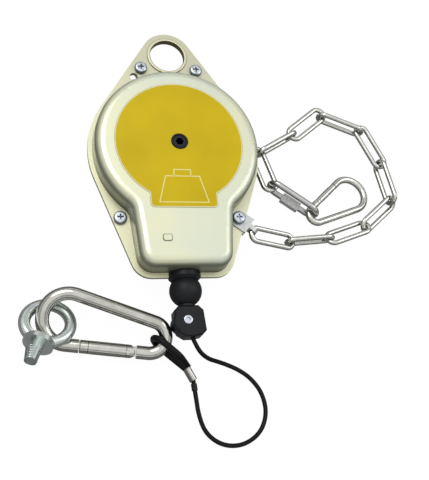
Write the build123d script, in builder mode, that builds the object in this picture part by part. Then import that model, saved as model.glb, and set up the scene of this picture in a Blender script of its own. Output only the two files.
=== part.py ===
from build123d import *
import math
import os

os.makedirs("parts", exist_ok=True)

# A spring balancer for a hand tool, lying on its back with its rope, carabiner and safety chain.
# Origin: on the drum axis, at the rear cover's flat back face.
# +Z points out of the front cover, +Y to the hanging eye, millimetres throughout.

# Pressed steel housing
sheet = 1.5  # sheet thickness of both covers
cover_depth = 18.5  # from the seam to the flat face of a cover
cup_radius = 57.9  # round part of the drawn cup, at the flange
neck_half_width = 31.0  # at the foot of the neck
neck_taper = 5.73384  # degrees on each side
neck_join = 17.9  # where its sides end, inside the round part
cup_bottom_y = -88.8
neck_fillet = 9.0  # where the neck runs into the round part
neck_corner = 11.5
wall_draft = 3.0  # degrees
cover_edge_radius = 6.5  # outer rounding of the drawn face
flange_lip = 2.9  # flange beyond the round part
flange_radius = cup_radius + flange_lip
eye_boss_radius = 18.7
eye_rise = 20.1
eye_y = cup_radius + eye_rise
foot_radius = 14.0
foot_lip = 4.6  # flange beyond the neck's side
foot_drop = 3.1  # flange beyond the neck's foot
foot_half_spacing = neck_half_width + foot_lip - foot_radius
flange_bottom_y = cup_bottom_y - foot_drop
tether_hole_radius = 2.9
tether_hole_at = (-25.6, cup_radius + 1.7)
emboss_at = (-13.2, -69.8)
emboss_size = (6.4, 4.4)
emboss_height = 0.5
emboss_draft = 20.0  # degrees

# Hanging eye
eye_bore_radius = 12.6
eye_bush_wall = 1.0
eye_bead_radius = 1.25

# Label foil
label_margin = 13.3  # from the cup's outline
label_radius = cup_radius - label_margin
label_tab_side = 8.0  # from the side of the neck
label_tab_drop = 4.0
label_tab_half_width = neck_half_width - label_tab_side
label_tab_y = -label_radius - label_tab_drop
label_corner = 3.0
label_thickness = 0.3

# Cover fasteners, M5
screw_radius = 2.5
screw_head_radius = 4.6
screw_head_height = 3.2
screw_fit = 0.25
screw_crown = 1.76  # rounding of the head
screw_overhang = 0.6  # tip below the nut
top_screw_at = (20.3, cup_radius + 8.6)
bottom_screw_y = 8.0 - cup_radius
bottom_screw_inset = 5.51  # from the flange's edge
nut_across_flats = 8.0
nut_height = 4.0
recess_radius = 2.1
recess_width = 1.05
recess_depth = 1.6

# Running fits and small gaps
press_fit = 0.02
run_fit = 0.05
seat_gap = 0.3
slack = 0.1
overrun = 1.0  # how far a cut runs past the face it opens

# Spring arbor and its bearings
front_journal_radius = 4.1
arbor_radius = 6.5
drum_journal_radius = 5.5
ratchet_seat_radius = 5.0
rear_journal_radius = 4.0
hex_key = 5.0
hex_depth = 8.0
arbor_recess = 0.6
adjuster_rim_radius = 5.9
adjuster_rim_height = 1.0
adjuster_barrel_wall = 1.0
adjuster_snap_lip = 0.5
adjuster_snap_height = 0.8
adjuster_edge = 0.5  # bevel of the rim
adjuster_mouth = 0.4  # bevel of the bore
arbor_neck = 0.4  # above the circlip
rear_bush_radius = 9.0
rear_bush_height = 4.8
bush_floor = 0.6
rear_bush_edge = 1.0

# Rope drum
rope_radius = 1.5
rope_turns = 5
drum_clearance = 4.4  # inside the covers' wall
groove_depth = 6.5
drum_rim_wall = 5.5  # between the groove and the spring's pocket
drum_flange_radius = cup_radius - sheet - drum_clearance
groove_radius = drum_flange_radius - groove_depth
pocket_radius = groove_radius - drum_rim_wall
drum_flange_thickness = 2.0
drum_web = 2.4
web_slots = 6
web_slot = (16.0, 9.0)
drum_hub_radius = 10.5
drum_hub_overhang = 3.0  # hub below the web
drum_bush_radius = 7.5
drum_rear_z = 8.0
drum_cover_thickness = 1.5
drum_cover_step = 4.0  # smaller than the drum's flange
drum_screw_radius = 1.2
drum_screw_head_radius = 2.3
drum_screw_head_height = 1.2
drum_screw_length = 8.0
drum_screws = 3
nipple_radius = 2.4
nipple_length = 6.0

# Main spring, a flat spiral
spring_strip = 0.9
spring_half_turns = 14
spring_side_gap = 0.6

# Ratchet
ratchet_teeth = 12
ratchet_radius = 11.0
ratchet_tooth = 2.2
ratchet_thickness = 2.4
washer_thickness = 0.5
washer_radius = 9.0
circlip_thickness = 0.8
circlip_radius = 6.4
circlip_groove = 0.8
circlip_mouth = 4.0
circlip_reach = 6.0
pawl_sheet = 0.9
pawl_width = 7.0
pawl_foot = 13.0
pawl_tail = 4.0  # beyond the rivets
pawl_tip = 1.9
pawl_rise = 2.8
pawl_rivet_radius = 1.4
pawl_rivet_spacing = 6.5
pawl_rivet_head = 0.6
pawl_rivet_head_radius = 2.38

# Nozzle, buffer ball and rope clamp
nozzle_collar_radius = 10.9
nozzle_neck_radius = 9.4
nozzle_tip_radius = 8.9
nozzle_collar_length = 3.2
nozzle_lip_radius = 10.8
nozzle_lip_thickness = 2.0
nozzle_lip_gap = 1.0  # behind the covers' wall
nozzle_collar_gap = 0.2
nozzle_collar_edge = 1.2
nozzle_bore_radius = 2.0
nozzle_bell = 2.4  # rounding of the bore at its inner mouth
ball_radius = 10.9
ball_y = cup_bottom_y - 12.2
ball_seat = 0.09  # from the ball to the clamp
ball_neck_radius = 5.2
clamp_top_y = ball_y - ball_radius - slack
clamp_length = 20.8
clamp_bottom_y = clamp_top_y - clamp_length
clamp_half_width = 11.0
clamp_top_half_width = 6.6
clamp_half_thickness = 6.2
clamp_lobe_radius = 6.5
clamp_shoulder = 3.2
clamp_chamfer = 1.1
clamp_inset = 1.2  # of its top and foot, on each side
clamp_screw_at = (-0.9, clamp_top_y - 9.5)
clamp_screw_radius = 2.0
clamp_head_radius = 3.2
clamp_head_height = 2.4
clamp_head_crown = 0.8
clamp_key_radius = 1.5
clamp_key_depth = 1.4
rope_mouth_inset = 4.0  # where the inner rope turns into the nozzle
rope_mouth_bend = 7.0
rope_stop_bend = 6.0
rope_stop_lead = 5.0  # straight run at the clamp's foot
rope_stop_entry = 8.2  # above the clamp screw
rope_stop_rise = 0.2
rope_stop_gap = 0.5  # round the clamp screw

# Free rope: hand-set route on the floor, and what is crimped to it
rope_route = [
    (2.4, clamp_bottom_y, cover_depth),
    (5.3, clamp_bottom_y - 8.3, cover_depth),
    (12.6, -145.6, 13.2),
    (20.6, -146.6, 7.4),
    (28.4, -148.4, 3.2),
    (36.4, -151.8, 1.55),
    (44.4, -158.0, 1.55),
    (51.0, -168.2, 1.55),
    (52.6, -181.6, 1.55),
    (46.8, -194.0, 1.55),
    (34.2, -201.2, 1.55),
    (20.4, -200.4, 1.55),
    (9.8, -192.2, 1.55),
    (6.0, -180.0, 1.6),
    (5.2, -168.6, 1.9),
    (4.0, -156.8, 2.6),
]
rope_arc_share = 0.45
sleeve_wall = 0.5
sleeve_length = 4.6
sleeve_offset = 2.8
ferrule_length = 9.0
ferrule_width = 4.2
ferrule_height = 8.6
ferrule_edge_radius = 0.5
ferrule_at = (3.9, -158.0)
ferrule_heading = 116.0  # degrees from +X
eye_heading = 138.0
eye_tube_radius = 2.2
eye_slope_run = 9.0
eye_gap = 1.3  # round the carabiner's wire
eye_top_bend = 9.0
eye_tail = 2.0  # of the tube, past the ferrule

# Carabiner, 90 x 9
carabiner_wire = 4.4
carabiner_bow = 16.6
carabiner_end = 10.4
carabiner_span = 53.6
carabiner_origin = (-76.3, -115.8, 10.74)
carabiner_heading = -15.0
carabiner_pitch = 1.1
carabiner_tilt = 21.2
carabiner_gate_length = 31.0
carabiner_gate_start = 0.16  # share of the straight side that the nose takes

# Eye bolt, M8
ring_wire = 3.8
ring_radius = 14.6
ring_centre = (-89.4, -117.75, 9.42)
ring_heading = -113.5
ring_tilt = 22.0
ring_roll = 4.7
ring_collar_radius = 10.0
ring_collar_distance = 18.0
ring_collar_height = 4.0
ring_collar_edge = 1.0
tool_stud_radius = 4.0
tool_stud_length = 13.0

# Safety chain, 3.6 x 32 long link
chain_wire = 1.8
chain_inner_length = 32.0
chain_half_width = 4.95
chain_headings = (-4.8, 5.2, 18.4, 39.1, 95.5, 113.8, 158.4, 217.8, 210.2, 283.7)
chain_rolls = (0.0, 90.0, -24.0, 42.0, 106.0, 4.0, 90.0, 0.0, 90.0, 0.0)
chain_slack = (0.1, 0.0, 0.25, 0.25, 0.3, 0.1, 0.0, 0.0, 0.0, 0.0)  # at each link's far end
chain_first_pitch = -17.6
chain_gap = 0.3
chain_rest_z = 6.8
chain_end_z = 9.45

# Chain bracket
strap = 1.2
strap_width = 12.4
strap_tongue = 3.4
strap_bend_gap = 0.6
strap_fold = 2.4  # length of the joggle down to the fold
strap_fold_gap = 0.8  # from the joggle to the link's wire
strap_tail_round = 5.58
strap_heading = -38.0
strap_reach = 12.6  # screw to the middle of the first link's wire
strap_tail = 4.8

# Quick link on edge, and snap hook
quick_wire = 2.2
quick_inner_length = 35.0
quick_half_width = 6.5
quick_heading = -36.0
quick_nut_flats = 7.0
quick_nut_length = 14.5
quick_nut_bore_gap = 0.1
quick_thread_gap = 8.0
snap_wire = 2.5
snap_bow = 12.7
snap_end = 6.0
snap_span = 36.5
snap_heading = 211.0
snap_pitch = 7.9
snap_gate_length = 19.5
snap_gate_start = 0.14
snap_gap = 0.35

# Hooks
hook_tongue_share = 0.62
hook_pin_share = 0.28
gate_tip_gap = 0.6

seam_z = cover_depth
front_z = 2 * cover_depth
flange_top_z = seam_z + sheet
flange_under_z = seam_z - sheet
cavity_front_z = front_z - sheet
rope_z = seam_z
quick_centre_z = quick_nut_flats / 2 + quick_half_width


def unit(heading, pitch=0.0):
    """Direction from a heading in the floor plane and a pitch above it, in degrees."""
    a = math.radians(heading)
    b = math.radians(pitch)
    return Vector(math.cos(a) * math.cos(b), math.sin(a) * math.cos(b), math.sin(b))


def rolled_plane(origin, along, roll):
    """Plane with x along a link and its normal turned by roll from upright."""
    side = Vector(0, 0, 1).cross(along).normalized()
    up = along.cross(side).normalized()
    r = math.radians(roll)
    return Plane(origin=origin, x_dir=along, z_dir=up * math.cos(r) + side * -math.sin(r))


def save(part, label):
    part.label = label
    export_step(part, f"parts/{label}.step")


def cup_outline(inset):
    """Outline of the drawn cup: a round part that runs into a tapering neck."""
    top_y = neck_join - cup_radius
    top = neck_half_width + (top_y - cup_bottom_y) * math.tan(math.radians(neck_taper))
    with BuildSketch() as outline:
        Circle(cup_radius - inset)
        with BuildLine():
            Polyline(
                (top - inset, top_y),
                (neck_half_width - inset, cup_bottom_y + inset),
                (inset - neck_half_width, cup_bottom_y + inset),
                (inset - top, top_y),
                close=True,
            )
        make_face()
        fillet(outline.vertices().sort_by(Axis.Y)[0:2], neck_corner - inset)
        fillet(outline.vertices().sort_by(Axis.Y)[4:6], neck_fillet + inset)
    return outline.sketch


def flange_outline():
    """Outline of the flange: a hull over the round part, the eye boss and two feet."""
    with BuildSketch() as outline:
        Circle(flange_radius)
        with Locations((0, eye_y)):
            Circle(eye_boss_radius)
        foot_y = flange_bottom_y + foot_radius
        with Locations((foot_half_spacing, foot_y), (-foot_half_spacing, foot_y)):
            Circle(foot_radius)
        make_hull()
    return outline.sketch


def flange_edge(y):
    """Half width of the flange at y, where its straight side joins the round part to a foot."""
    foot = Vector(foot_half_spacing, flange_bottom_y + foot_radius)
    lean = math.atan2(foot.Y, foot.X) + math.acos((flange_radius - foot_radius) / foot.length)
    return (flange_radius - y * math.sin(lean)) / math.cos(lean)


bottom_screw_at = (flange_edge(bottom_screw_y) - bottom_screw_inset, bottom_screw_y)


def screw_places():
    tx, ty = top_screw_at
    bx, by = bottom_screw_at
    return [(-tx, ty), (tx, ty), (-bx, by), (bx, by)]


def front_shell():
    """One drawn cover, above the seam plane, before its own holes."""
    with BuildPart() as shell:
        with BuildSketch(Plane.XY.offset(seam_z)):
            add(flange_outline())
        extrude(amount=sheet)
        with BuildSketch(Plane.XY.offset(seam_z)):
            add(cup_outline(0))
        extrude(amount=cover_depth, taper=wall_draft)
        rim = shell.faces().sort_by(Axis.Z)[-1].edges()
        fillet(rim, cover_edge_radius)
    with BuildPart() as cavity:
        with BuildSketch(Plane.XY.offset(seam_z)):
            add(cup_outline(sheet))
        extrude(amount=cover_depth - sheet, taper=wall_draft)
        top = cavity.faces().sort_by(Axis.Z)[-1].edges()
        fillet(top, cover_edge_radius - sheet)
    with BuildPart() as cover:
        add(shell.part)
        add(cavity.part, mode=Mode.SUBTRACT)
        with BuildSketch(Plane.XY.offset(seam_z)):
            with Locations(*screw_places()):
                Circle(screw_radius + screw_fit)
            with Locations((0, eye_y)):
                Circle(eye_bore_radius + eye_bush_wall + run_fit)
            with Locations(tether_hole_at):
                Circle(tether_hole_radius)
        extrude(amount=sheet, mode=Mode.SUBTRACT)
        with BuildSketch(Plane((0, cup_bottom_y + 3 * sheet, rope_z), x_dir=(1, 0, 0), z_dir=(0, -1, 0))):
            Circle(nozzle_neck_radius + slack)
        extrude(amount=4 * sheet, mode=Mode.SUBTRACT)
        with BuildSketch(Plane((0, cup_bottom_y - slack, rope_z), x_dir=(1, 0, 0), z_dir=(0, -1, 0))):
            Circle(nozzle_collar_radius + slack)
        extrude(amount=4 * sheet, mode=Mode.SUBTRACT)
    return cover.part


def make_covers():
    shell = front_shell()
    with BuildPart() as front:
        add(shell)
        with BuildSketch(Plane.XY.offset(front_z)):
            with Locations(emboss_at):
                SlotOverall(emboss_size[0], emboss_size[1])
        extrude(amount=emboss_height, taper=emboss_draft)
        with BuildSketch(Plane.XY.offset(cavity_front_z)):
            Circle(front_journal_radius + run_fit + adjuster_barrel_wall + run_fit)
            with Locations(*pawl_rivet_places()):
                Circle(pawl_rivet_radius)
        extrude(amount=2 * sheet, mode=Mode.SUBTRACT)
    save(front.part, "front_cover")
    with BuildPart() as rear:
        add(mirror(shell, about=Plane.XY.offset(seam_z)))
    save(rear.part, "rear_cover")


def pawl_rivet_places():
    x = ratchet_radius + seat_gap + pawl_foot
    return [(x, -pawl_rivet_spacing / 2), (x, pawl_rivet_spacing / 2)]


def make_label():
    with BuildPart() as label:
        with BuildSketch(Plane.XY.offset(front_z)) as foil:
            Circle(label_radius)
            with Locations((0, label_tab_y)):
                Rectangle(2 * label_tab_half_width, label_radius, align=(Align.CENTER, Align.MIN))
            fillet(foil.vertices().sort_by(Axis.Y)[0:2], label_corner)
            Circle(adjuster_rim_radius + slack, mode=Mode.SUBTRACT)
        extrude(amount=label_thickness)
    save(label.part, "label_plate")


def head_height(place):
    on_strap = place == bottom_screw_at
    return strap if on_strap else 0.0


def make_screws():
    with BuildPart() as screws:
        for place in screw_places():
            lift = head_height(place)
            tip = flange_under_z - lift - nut_height - screw_overhang
            with BuildSketch(Plane.XY.offset(tip)):
                with Locations(place):
                    Circle(screw_radius)
            extrude(amount=flange_top_z + lift - tip)
            with BuildSketch(Plane.XY.offset(flange_top_z + lift)):
                with Locations(place):
                    Circle(screw_head_radius)
            extrude(amount=screw_head_height)
        tops = screws.faces().filter_by(Plane.XY).group_by(Face.area.fget)[-1]
        crowns = [f for f in tops if f.normal_at().Z > 0]
        fillet([e for f in crowns for e in f.edges()], screw_crown)
        for place in screw_places():
            top = flange_top_z + head_height(place) + screw_head_height
            with BuildSketch(Plane.XY.offset(top)):
                with Locations(place):
                    Rectangle(2 * recess_radius, recess_width)
                    Rectangle(recess_width, 2 * recess_radius)
            extrude(amount=-recess_depth, mode=Mode.SUBTRACT)
    save(screws.part, "cover_screws")


def make_nuts():
    with BuildPart() as nuts:
        for place in screw_places():
            with BuildSketch(Plane.XY.offset(flange_under_z - head_height(place))):
                with Locations(place):
                    RegularPolygon(nut_across_flats / 2, 6, major_radius=False)
                    Circle(screw_radius + run_fit, mode=Mode.SUBTRACT)
            extrude(amount=-nut_height)
    save(nuts.part, "cover_nuts")


def make_eye_bush():
    """Rolled eyelet that lines the hanging eye and clamps both flanges."""
    outer = eye_bore_radius + eye_bush_wall
    top = flange_top_z + eye_bead_radius
    bottom = flange_under_z - eye_bead_radius
    with BuildPart() as bush:
        with BuildSketch(Plane.XZ.offset(-eye_y)):
            with Locations(((eye_bore_radius + outer) / 2, seam_z)):
                Rectangle(eye_bush_wall, top - bottom)
            with Locations((outer, top), (outer, bottom)):
                Circle(eye_bead_radius)
            with Locations((eye_bore_radius - eye_bead_radius, seam_z)):
                Rectangle(2 * eye_bead_radius, top - bottom + 4 * eye_bead_radius, mode=Mode.SUBTRACT)
        revolve(axis=Axis((0, eye_y, 0), (0, 0, 1)))
    save(bush.part, "eye_bush")


def make_bearings():
    bore = front_journal_radius + run_fit
    barrel = bore + adjuster_barrel_wall
    lip_z = cavity_front_z - slack
    with BuildPart() as adjuster:
        with BuildSketch(Plane.XZ):
            with BuildLine():
                Polyline(
                    (bore, lip_z - adjuster_snap_height),
                    (barrel, lip_z - adjuster_snap_height),
                    (barrel + adjuster_snap_lip, lip_z),
                    (barrel, lip_z),
                    (barrel, front_z),
                    (adjuster_rim_radius, front_z),
                    (adjuster_rim_radius, front_z + adjuster_rim_height - adjuster_edge),
                    (adjuster_rim_radius - adjuster_edge, front_z + adjuster_rim_height),
                    (bore + adjuster_mouth, front_z + adjuster_rim_height),
                    (bore, front_z + adjuster_rim_height - adjuster_mouth),
                    close=True,
                )
            make_face()
        revolve(axis=Axis.Z)
    save(adjuster.part, "adjuster_bush")
    with BuildPart() as rear:
        with BuildSketch(Plane.XY.offset(sheet)):
            Circle(rear_bush_radius)
        extrude(amount=rear_bush_height)
        with BuildSketch(Plane.XY.offset(sheet + bush_floor)):
            Circle(rear_journal_radius + run_fit)
        extrude(amount=rear_bush_height, mode=Mode.SUBTRACT)
        chamfer(rear.faces().sort_by(Axis.Z)[-1].outer_wire().edges(), rear_bush_edge)
    save(rear.part, "rear_bush")


drum_front_z = drum_rear_z + 2 * drum_flange_thickness + 2 * rope_radius * rope_turns + 2 * slack
web_z = drum_front_z - drum_web
ratchet_z = drum_front_z + washer_thickness + 3 * slack
groove_z = ratchet_z + ratchet_thickness + slack
arbor_shoulder_z = sheet + rear_bush_height + slack
hub_low_z = web_z - drum_hub_overhang
drum_journal_z = hub_low_z - slack
arbor_top_z = front_z + adjuster_rim_height - arbor_recess


def make_arbor():
    """Stepped arbor: rear journal, spring seat, drum journal, ratchet seat, front journal."""
    steps = [
        (rear_journal_radius, sheet + bush_floor + slack, arbor_shoulder_z),
        (arbor_radius, arbor_shoulder_z, drum_journal_z),
        (drum_journal_radius, drum_journal_z, drum_front_z + slack),
        (ratchet_seat_radius, drum_front_z + slack, groove_z + circlip_thickness + arbor_neck),
        (front_journal_radius, groove_z + circlip_thickness + arbor_neck, arbor_top_z),
    ]
    with BuildPart() as arbor:
        for radius, low, high in steps:
            with BuildSketch(Plane.XY.offset(low)):
                Circle(radius)
            extrude(amount=high - low)
        with BuildSketch(Plane.XY.offset(groove_z)):
            Circle(ratchet_seat_radius + overrun)
            Circle(ratchet_seat_radius - circlip_groove, mode=Mode.SUBTRACT)
        extrude(amount=circlip_thickness, mode=Mode.SUBTRACT)
        with BuildSketch(Plane.XY.offset(arbor_top_z)):
            RegularPolygon(hex_key / 2, 6, major_radius=False)
        extrude(amount=-hex_depth, mode=Mode.SUBTRACT)
    save(arbor.part, "spring_arbor")


def make_ratchet():
    with BuildPart() as washer:
        with BuildSketch(Plane.XY.offset(drum_front_z + 2 * slack)):
            Circle(washer_radius)
            Circle(ratchet_seat_radius + run_fit, mode=Mode.SUBTRACT)
        extrude(amount=washer_thickness)
    save(washer.part, "thrust_washer")
    with BuildPart() as wheel:
        with BuildSketch(Plane.XY.offset(ratchet_z)):
            Circle(ratchet_radius - ratchet_tooth)
            with BuildLine():
                points = []
                for tooth in range(ratchet_teeth):
                    start = 360 * tooth / ratchet_teeth
                    points.append(Vector(ratchet_radius, 0).rotate(Axis.Z, start))
                    points.append(Vector(ratchet_radius - ratchet_tooth, 0).rotate(Axis.Z, start + 1))
                Polyline(*points, close=True)
            make_face()
            Circle(ratchet_seat_radius + press_fit, mode=Mode.SUBTRACT)
        extrude(amount=ratchet_thickness)
    save(wheel.part, "ratchet_wheel")
    with BuildPart() as clip:
        with BuildSketch(Plane.XY.offset(groove_z + run_fit)):
            Circle(circlip_radius)
            Circle(ratchet_seat_radius - circlip_groove + run_fit, mode=Mode.SUBTRACT)
            with Locations((0, -circlip_radius)):
                Rectangle(circlip_mouth, circlip_reach, mode=Mode.SUBTRACT)
        extrude(amount=circlip_thickness - 2 * run_fit)
    save(clip.part, "arbor_circlip")
    tip_z = ratchet_z + ratchet_thickness / 2
    foot_z = cavity_front_z - pawl_sheet / 2
    near = ratchet_radius + seat_gap
    bend = near + seat_gap + pawl_tip
    with BuildPart() as pawl:
        with BuildSketch(Plane.XZ.offset(-pawl_width / 2)):
            with BuildLine():
                Polyline(
                    (near + seat_gap, tip_z),
                    (bend, tip_z),
                    (bend + pawl_rise, foot_z),
                    (near + pawl_foot + pawl_tail, foot_z),
                )
            trace(line_width=pawl_sheet)
        extrude(amount=pawl_width)
        with BuildSketch(Plane.XY.offset(cavity_front_z - 2 * pawl_sheet)):
            with Locations(*pawl_rivet_places()):
                Circle(pawl_rivet_radius + press_fit)
        extrude(amount=3 * pawl_sheet, mode=Mode.SUBTRACT)
    save(pawl.part, "ratchet_pawl")
    with BuildPart() as rivets:
        head_z = cavity_front_z - pawl_sheet - pawl_rivet_head - press_fit
        with BuildSketch(Plane.XY.offset(head_z)):
            with Locations(*pawl_rivet_places()):
                Circle(pawl_rivet_head_radius)
        extrude(amount=pawl_rivet_head)
        with BuildSketch(Plane.XY.offset(head_z)):
            with Locations(*pawl_rivet_places()):
                Circle(pawl_rivet_radius - press_fit)
        extrude(amount=front_z - head_z - run_fit)
    save(rivets.part, "pawl_rivets")


def drum_screw_places():
    r = (pocket_radius + groove_radius) / 2
    return PolarLocations(r, drum_screws)


def make_drum():
    groove_low = drum_rear_z + drum_flange_thickness
    groove_high = drum_front_z - drum_flange_thickness
    with BuildPart() as drum:
        with BuildSketch(Plane.XZ):
            with BuildLine():
                Polyline(
                    (pocket_radius, drum_rear_z),
                    (drum_flange_radius, drum_rear_z),
                    (drum_flange_radius, groove_low),
                    (groove_radius, groove_low),
                    (groove_radius, groove_high),
                    (drum_flange_radius, groove_high),
                    (drum_flange_radius, drum_front_z),
                    (drum_bush_radius, drum_front_z),
                    (drum_bush_radius, hub_low_z),
                    (drum_hub_radius, hub_low_z),
                    (drum_hub_radius, web_z),
                    (pocket_radius, web_z),
                    close=True,
                )
            make_face()
        revolve(axis=Axis.Z)
        with BuildSketch(Plane.XY.offset(web_z)):
            with PolarLocations((drum_hub_radius + pocket_radius) / 2, web_slots):
                SlotOverall(*web_slot)
        extrude(amount=drum_web, mode=Mode.SUBTRACT)
        with BuildSketch(Plane.XY.offset(drum_rear_z)):
            with drum_screw_places():
                Circle(drum_screw_radius + press_fit)
        extrude(amount=drum_screw_length, mode=Mode.SUBTRACT)
        with BuildSketch(Plane.XY.offset(web_z - nipple_length)):
            with Locations(((pocket_radius + groove_radius) / 2, 0)):
                Circle(nipple_radius + run_fit)
        extrude(amount=nipple_length + drum_web, mode=Mode.SUBTRACT)
    save(drum.part, "rope_drum")
    with BuildPart() as bush:
        with BuildSketch(Plane.XY.offset(hub_low_z)):
            Circle(drum_bush_radius - press_fit)
            Circle(drum_journal_radius + run_fit, mode=Mode.SUBTRACT)
        extrude(amount=drum_web + drum_hub_overhang)
    save(bush.part, "drum_bush")
    with BuildPart() as cover:
        with BuildSketch(Plane.XY.offset(drum_rear_z - drum_cover_thickness)):
            Circle(drum_flange_radius - drum_cover_step)
            Circle(arbor_radius + run_fit, mode=Mode.SUBTRACT)
            with drum_screw_places():
                Circle(drum_screw_radius + slack, mode=Mode.SUBTRACT)
        extrude(amount=drum_cover_thickness)
    save(cover.part, "drum_cover")
    with BuildPart() as screws:
        with BuildSketch(Plane.XY.offset(drum_rear_z - drum_cover_thickness)):
            with drum_screw_places():
                Circle(drum_screw_head_radius)
        extrude(amount=-drum_screw_head_height)
        with BuildSketch(Plane.XY.offset(drum_rear_z - drum_cover_thickness)):
            with drum_screw_places():
                Circle(drum_screw_radius)
        extrude(amount=drum_screw_length)
    save(screws.part, "drum_cover_screws")
    with BuildPart() as nipple:
        with BuildSketch(Plane.XY.offset(web_z - nipple_length)):
            with Locations(((pocket_radius + groove_radius) / 2, 0)):
                Circle(nipple_radius)
        extrude(amount=nipple_length)
    save(nipple.part, "rope_nipple")


def make_main_spring():
    """Flat spiral of half turns whose centres change sides, from the arbor to the pocket wall."""
    room = pocket_radius - arbor_radius - 2 * seat_gap - spring_strip
    step = room / spring_half_turns
    inner = arbor_radius + seat_gap + spring_strip / 2 + step / 2
    outer = inner + step * (spring_half_turns - 1)
    low = drum_rear_z + spring_side_gap
    high = hub_low_z - spring_side_gap
    half = spring_strip / 2
    with BuildPart() as spring:
        with BuildSketch(Plane.XY.offset(low)):
            with BuildLine():
                for k in range(spring_half_turns):
                    radius = inner + step * k
                    side = -step / 2 if k % 2 == 0 else step / 2
                    start = 0 if k % 2 == 0 else 180
                    CenterArc((side, 0), radius + half, start, 180)
                    CenterArc((side, 0), radius - half, start, 180)
                first = inner - step / 2
                last = (outer + step / 2) * (-1 if spring_half_turns % 2 else 1)
                Line((first - half, 0), (first + half, 0))
                Line((last - half, 0), (last + half, 0))
            make_face()
        extrude(amount=high - low)
    save(spring.part, "main_spring")


def make_wound_rope():
    """The turns of rope that lie side by side in the drum's groove."""
    low = drum_rear_z + drum_flange_thickness + slack
    width = 2 * rope_radius * rope_turns
    with BuildPart() as coil:
        with BuildSketch(Plane.XZ):
            with Locations((groove_radius, low)):
                Rectangle(rope_radius * 1.2, width, align=(Align.MIN, Align.MIN))
            for k in range(rope_turns):
                with Locations((groove_radius + rope_radius, low + rope_radius * (2 * k + 1))):
                    Circle(rope_radius)
        revolve(axis=Axis.Z)
    save(coil.part, "rope_wound")


def make_inner_rope():
    """Rope from the drum's tangent point to the nozzle's mouth, then straight through it."""
    coil_radius = groove_radius + rope_radius
    mouth_y = cup_bottom_y + rope_mouth_inset
    reach = math.acos(coil_radius / -mouth_y)
    touch = Vector(-math.sin(reach), -math.cos(reach)) * coil_radius
    mouth = Vector(0, mouth_y)
    along = (mouth - touch).normalized()
    clear = coil_radius + 2 * rope_radius + seat_gap
    start = touch + along * math.sqrt(clear**2 - coil_radius**2)
    end_y = ball_y + ball_radius + seat_gap
    with BuildPart() as rope:
        with BuildLine() as path:
            points = [(start.X, start.Y, rope_z), (0, mouth_y, rope_z), (0, end_y, rope_z)]
            FilletPolyline(*points, radius=rope_mouth_bend)
        with BuildSketch(Plane((start.X, start.Y, rope_z), z_dir=(along.X, along.Y, 0))):
            Circle(rope_radius)
        sweep(path=path.line)
    save(rope.part, "rope_run")


def make_nozzle():
    """Turned nozzle, clipped between the covers, with a bell mouth inside and a ball seat outside."""
    wall_in = cup_bottom_y + sheet
    lip_low = wall_in + nozzle_lip_gap
    lip_high = lip_low + nozzle_lip_thickness
    collar_top = cup_bottom_y - nozzle_collar_gap
    collar_end = collar_top - nozzle_collar_length
    tip_y = ball_y + math.sqrt((ball_radius + seat_gap) ** 2 - nozzle_tip_radius**2)
    bell = nozzle_bell
    turn = bell * 0.293
    inside = lip_high + overrun
    outside = tip_y - ball_radius
    with BuildPart() as nozzle:
        with BuildSketch(Plane.XY.offset(rope_z)):
            with BuildLine():
                Polyline(
                    (0, lip_high),
                    (nozzle_lip_radius, lip_high),
                    (nozzle_lip_radius, lip_low),
                    (nozzle_neck_radius, lip_low),
                    (nozzle_neck_radius, collar_top),
                    (nozzle_collar_radius, collar_top),
                    (nozzle_collar_radius, collar_end),
                    (nozzle_tip_radius, tip_y),
                    (0, tip_y),
                    close=True,
                )
            make_face()
        revolve(axis=Axis((0, 0, rope_z), (0, 1, 0)))
        with BuildSketch(Plane.XY.offset(rope_z)):
            with BuildLine():
                Line((0, inside), (nozzle_bore_radius + bell, inside))
                Line((nozzle_bore_radius + bell, inside), (nozzle_bore_radius + bell, lip_high))
                ThreePointArc(
                    (nozzle_bore_radius + bell, lip_high),
                    (nozzle_bore_radius + turn, lip_high - turn),
                    (nozzle_bore_radius, lip_high - bell),
                )
                Polyline(
                    (nozzle_bore_radius, lip_high - bell),
                    (nozzle_bore_radius, outside),
                    (0, outside),
                    (0, inside),
                )
            make_face()
        revolve(axis=Axis((0, 0, rope_z), (0, 1, 0)), mode=Mode.SUBTRACT)
        with Locations((0, ball_y, rope_z)):
            Sphere(ball_radius + seat_gap, mode=Mode.SUBTRACT)
        edges = nozzle.edges().filter_by(GeomType.CIRCLE)
        corner = [e for e in edges if abs(e.center().Y - collar_end) < 0.01]
        fillet(corner, nozzle_collar_edge)
    save(nozzle.part, "rope_nozzle")


def make_ball():
    with BuildPart() as ball:
        with Locations((0, ball_y, rope_z)):
            Sphere(ball_radius)
        bottom_y = clamp_top_y + ball_seat
        with BuildSketch(Plane((0, ball_y, rope_z), x_dir=(1, 0, 0), z_dir=(0, -1, 0))):
            Circle(ball_neck_radius)
        extrude(amount=ball_y - bottom_y)
        with BuildSketch(Plane((0, ball_y + 2 * ball_radius, rope_z), x_dir=(1, 0, 0), z_dir=(0, -1, 0))):
            Circle(rope_radius + run_fit)
        extrude(amount=4 * ball_radius, mode=Mode.SUBTRACT)
    save(ball.part, "buffer_ball")


def stop_path():
    """Rope from the ball's top, once sideways round the clamp screw, to the clamp's foot."""
    x, y = clamp_screw_at
    around = x + clamp_screw_radius + rope_radius + rope_stop_gap
    foot = Vector(*rope_route[0])
    exit_run = (foot - Vector(*rope_route[1])).normalized() * rope_stop_lead
    return [
        Vector(0, ball_y + ball_radius, rope_z),
        Vector(0, y + rope_stop_entry, rope_z),
        Vector(around, y + rope_stop_rise, rope_z),
        foot + exit_run,
        foot,
    ]


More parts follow.
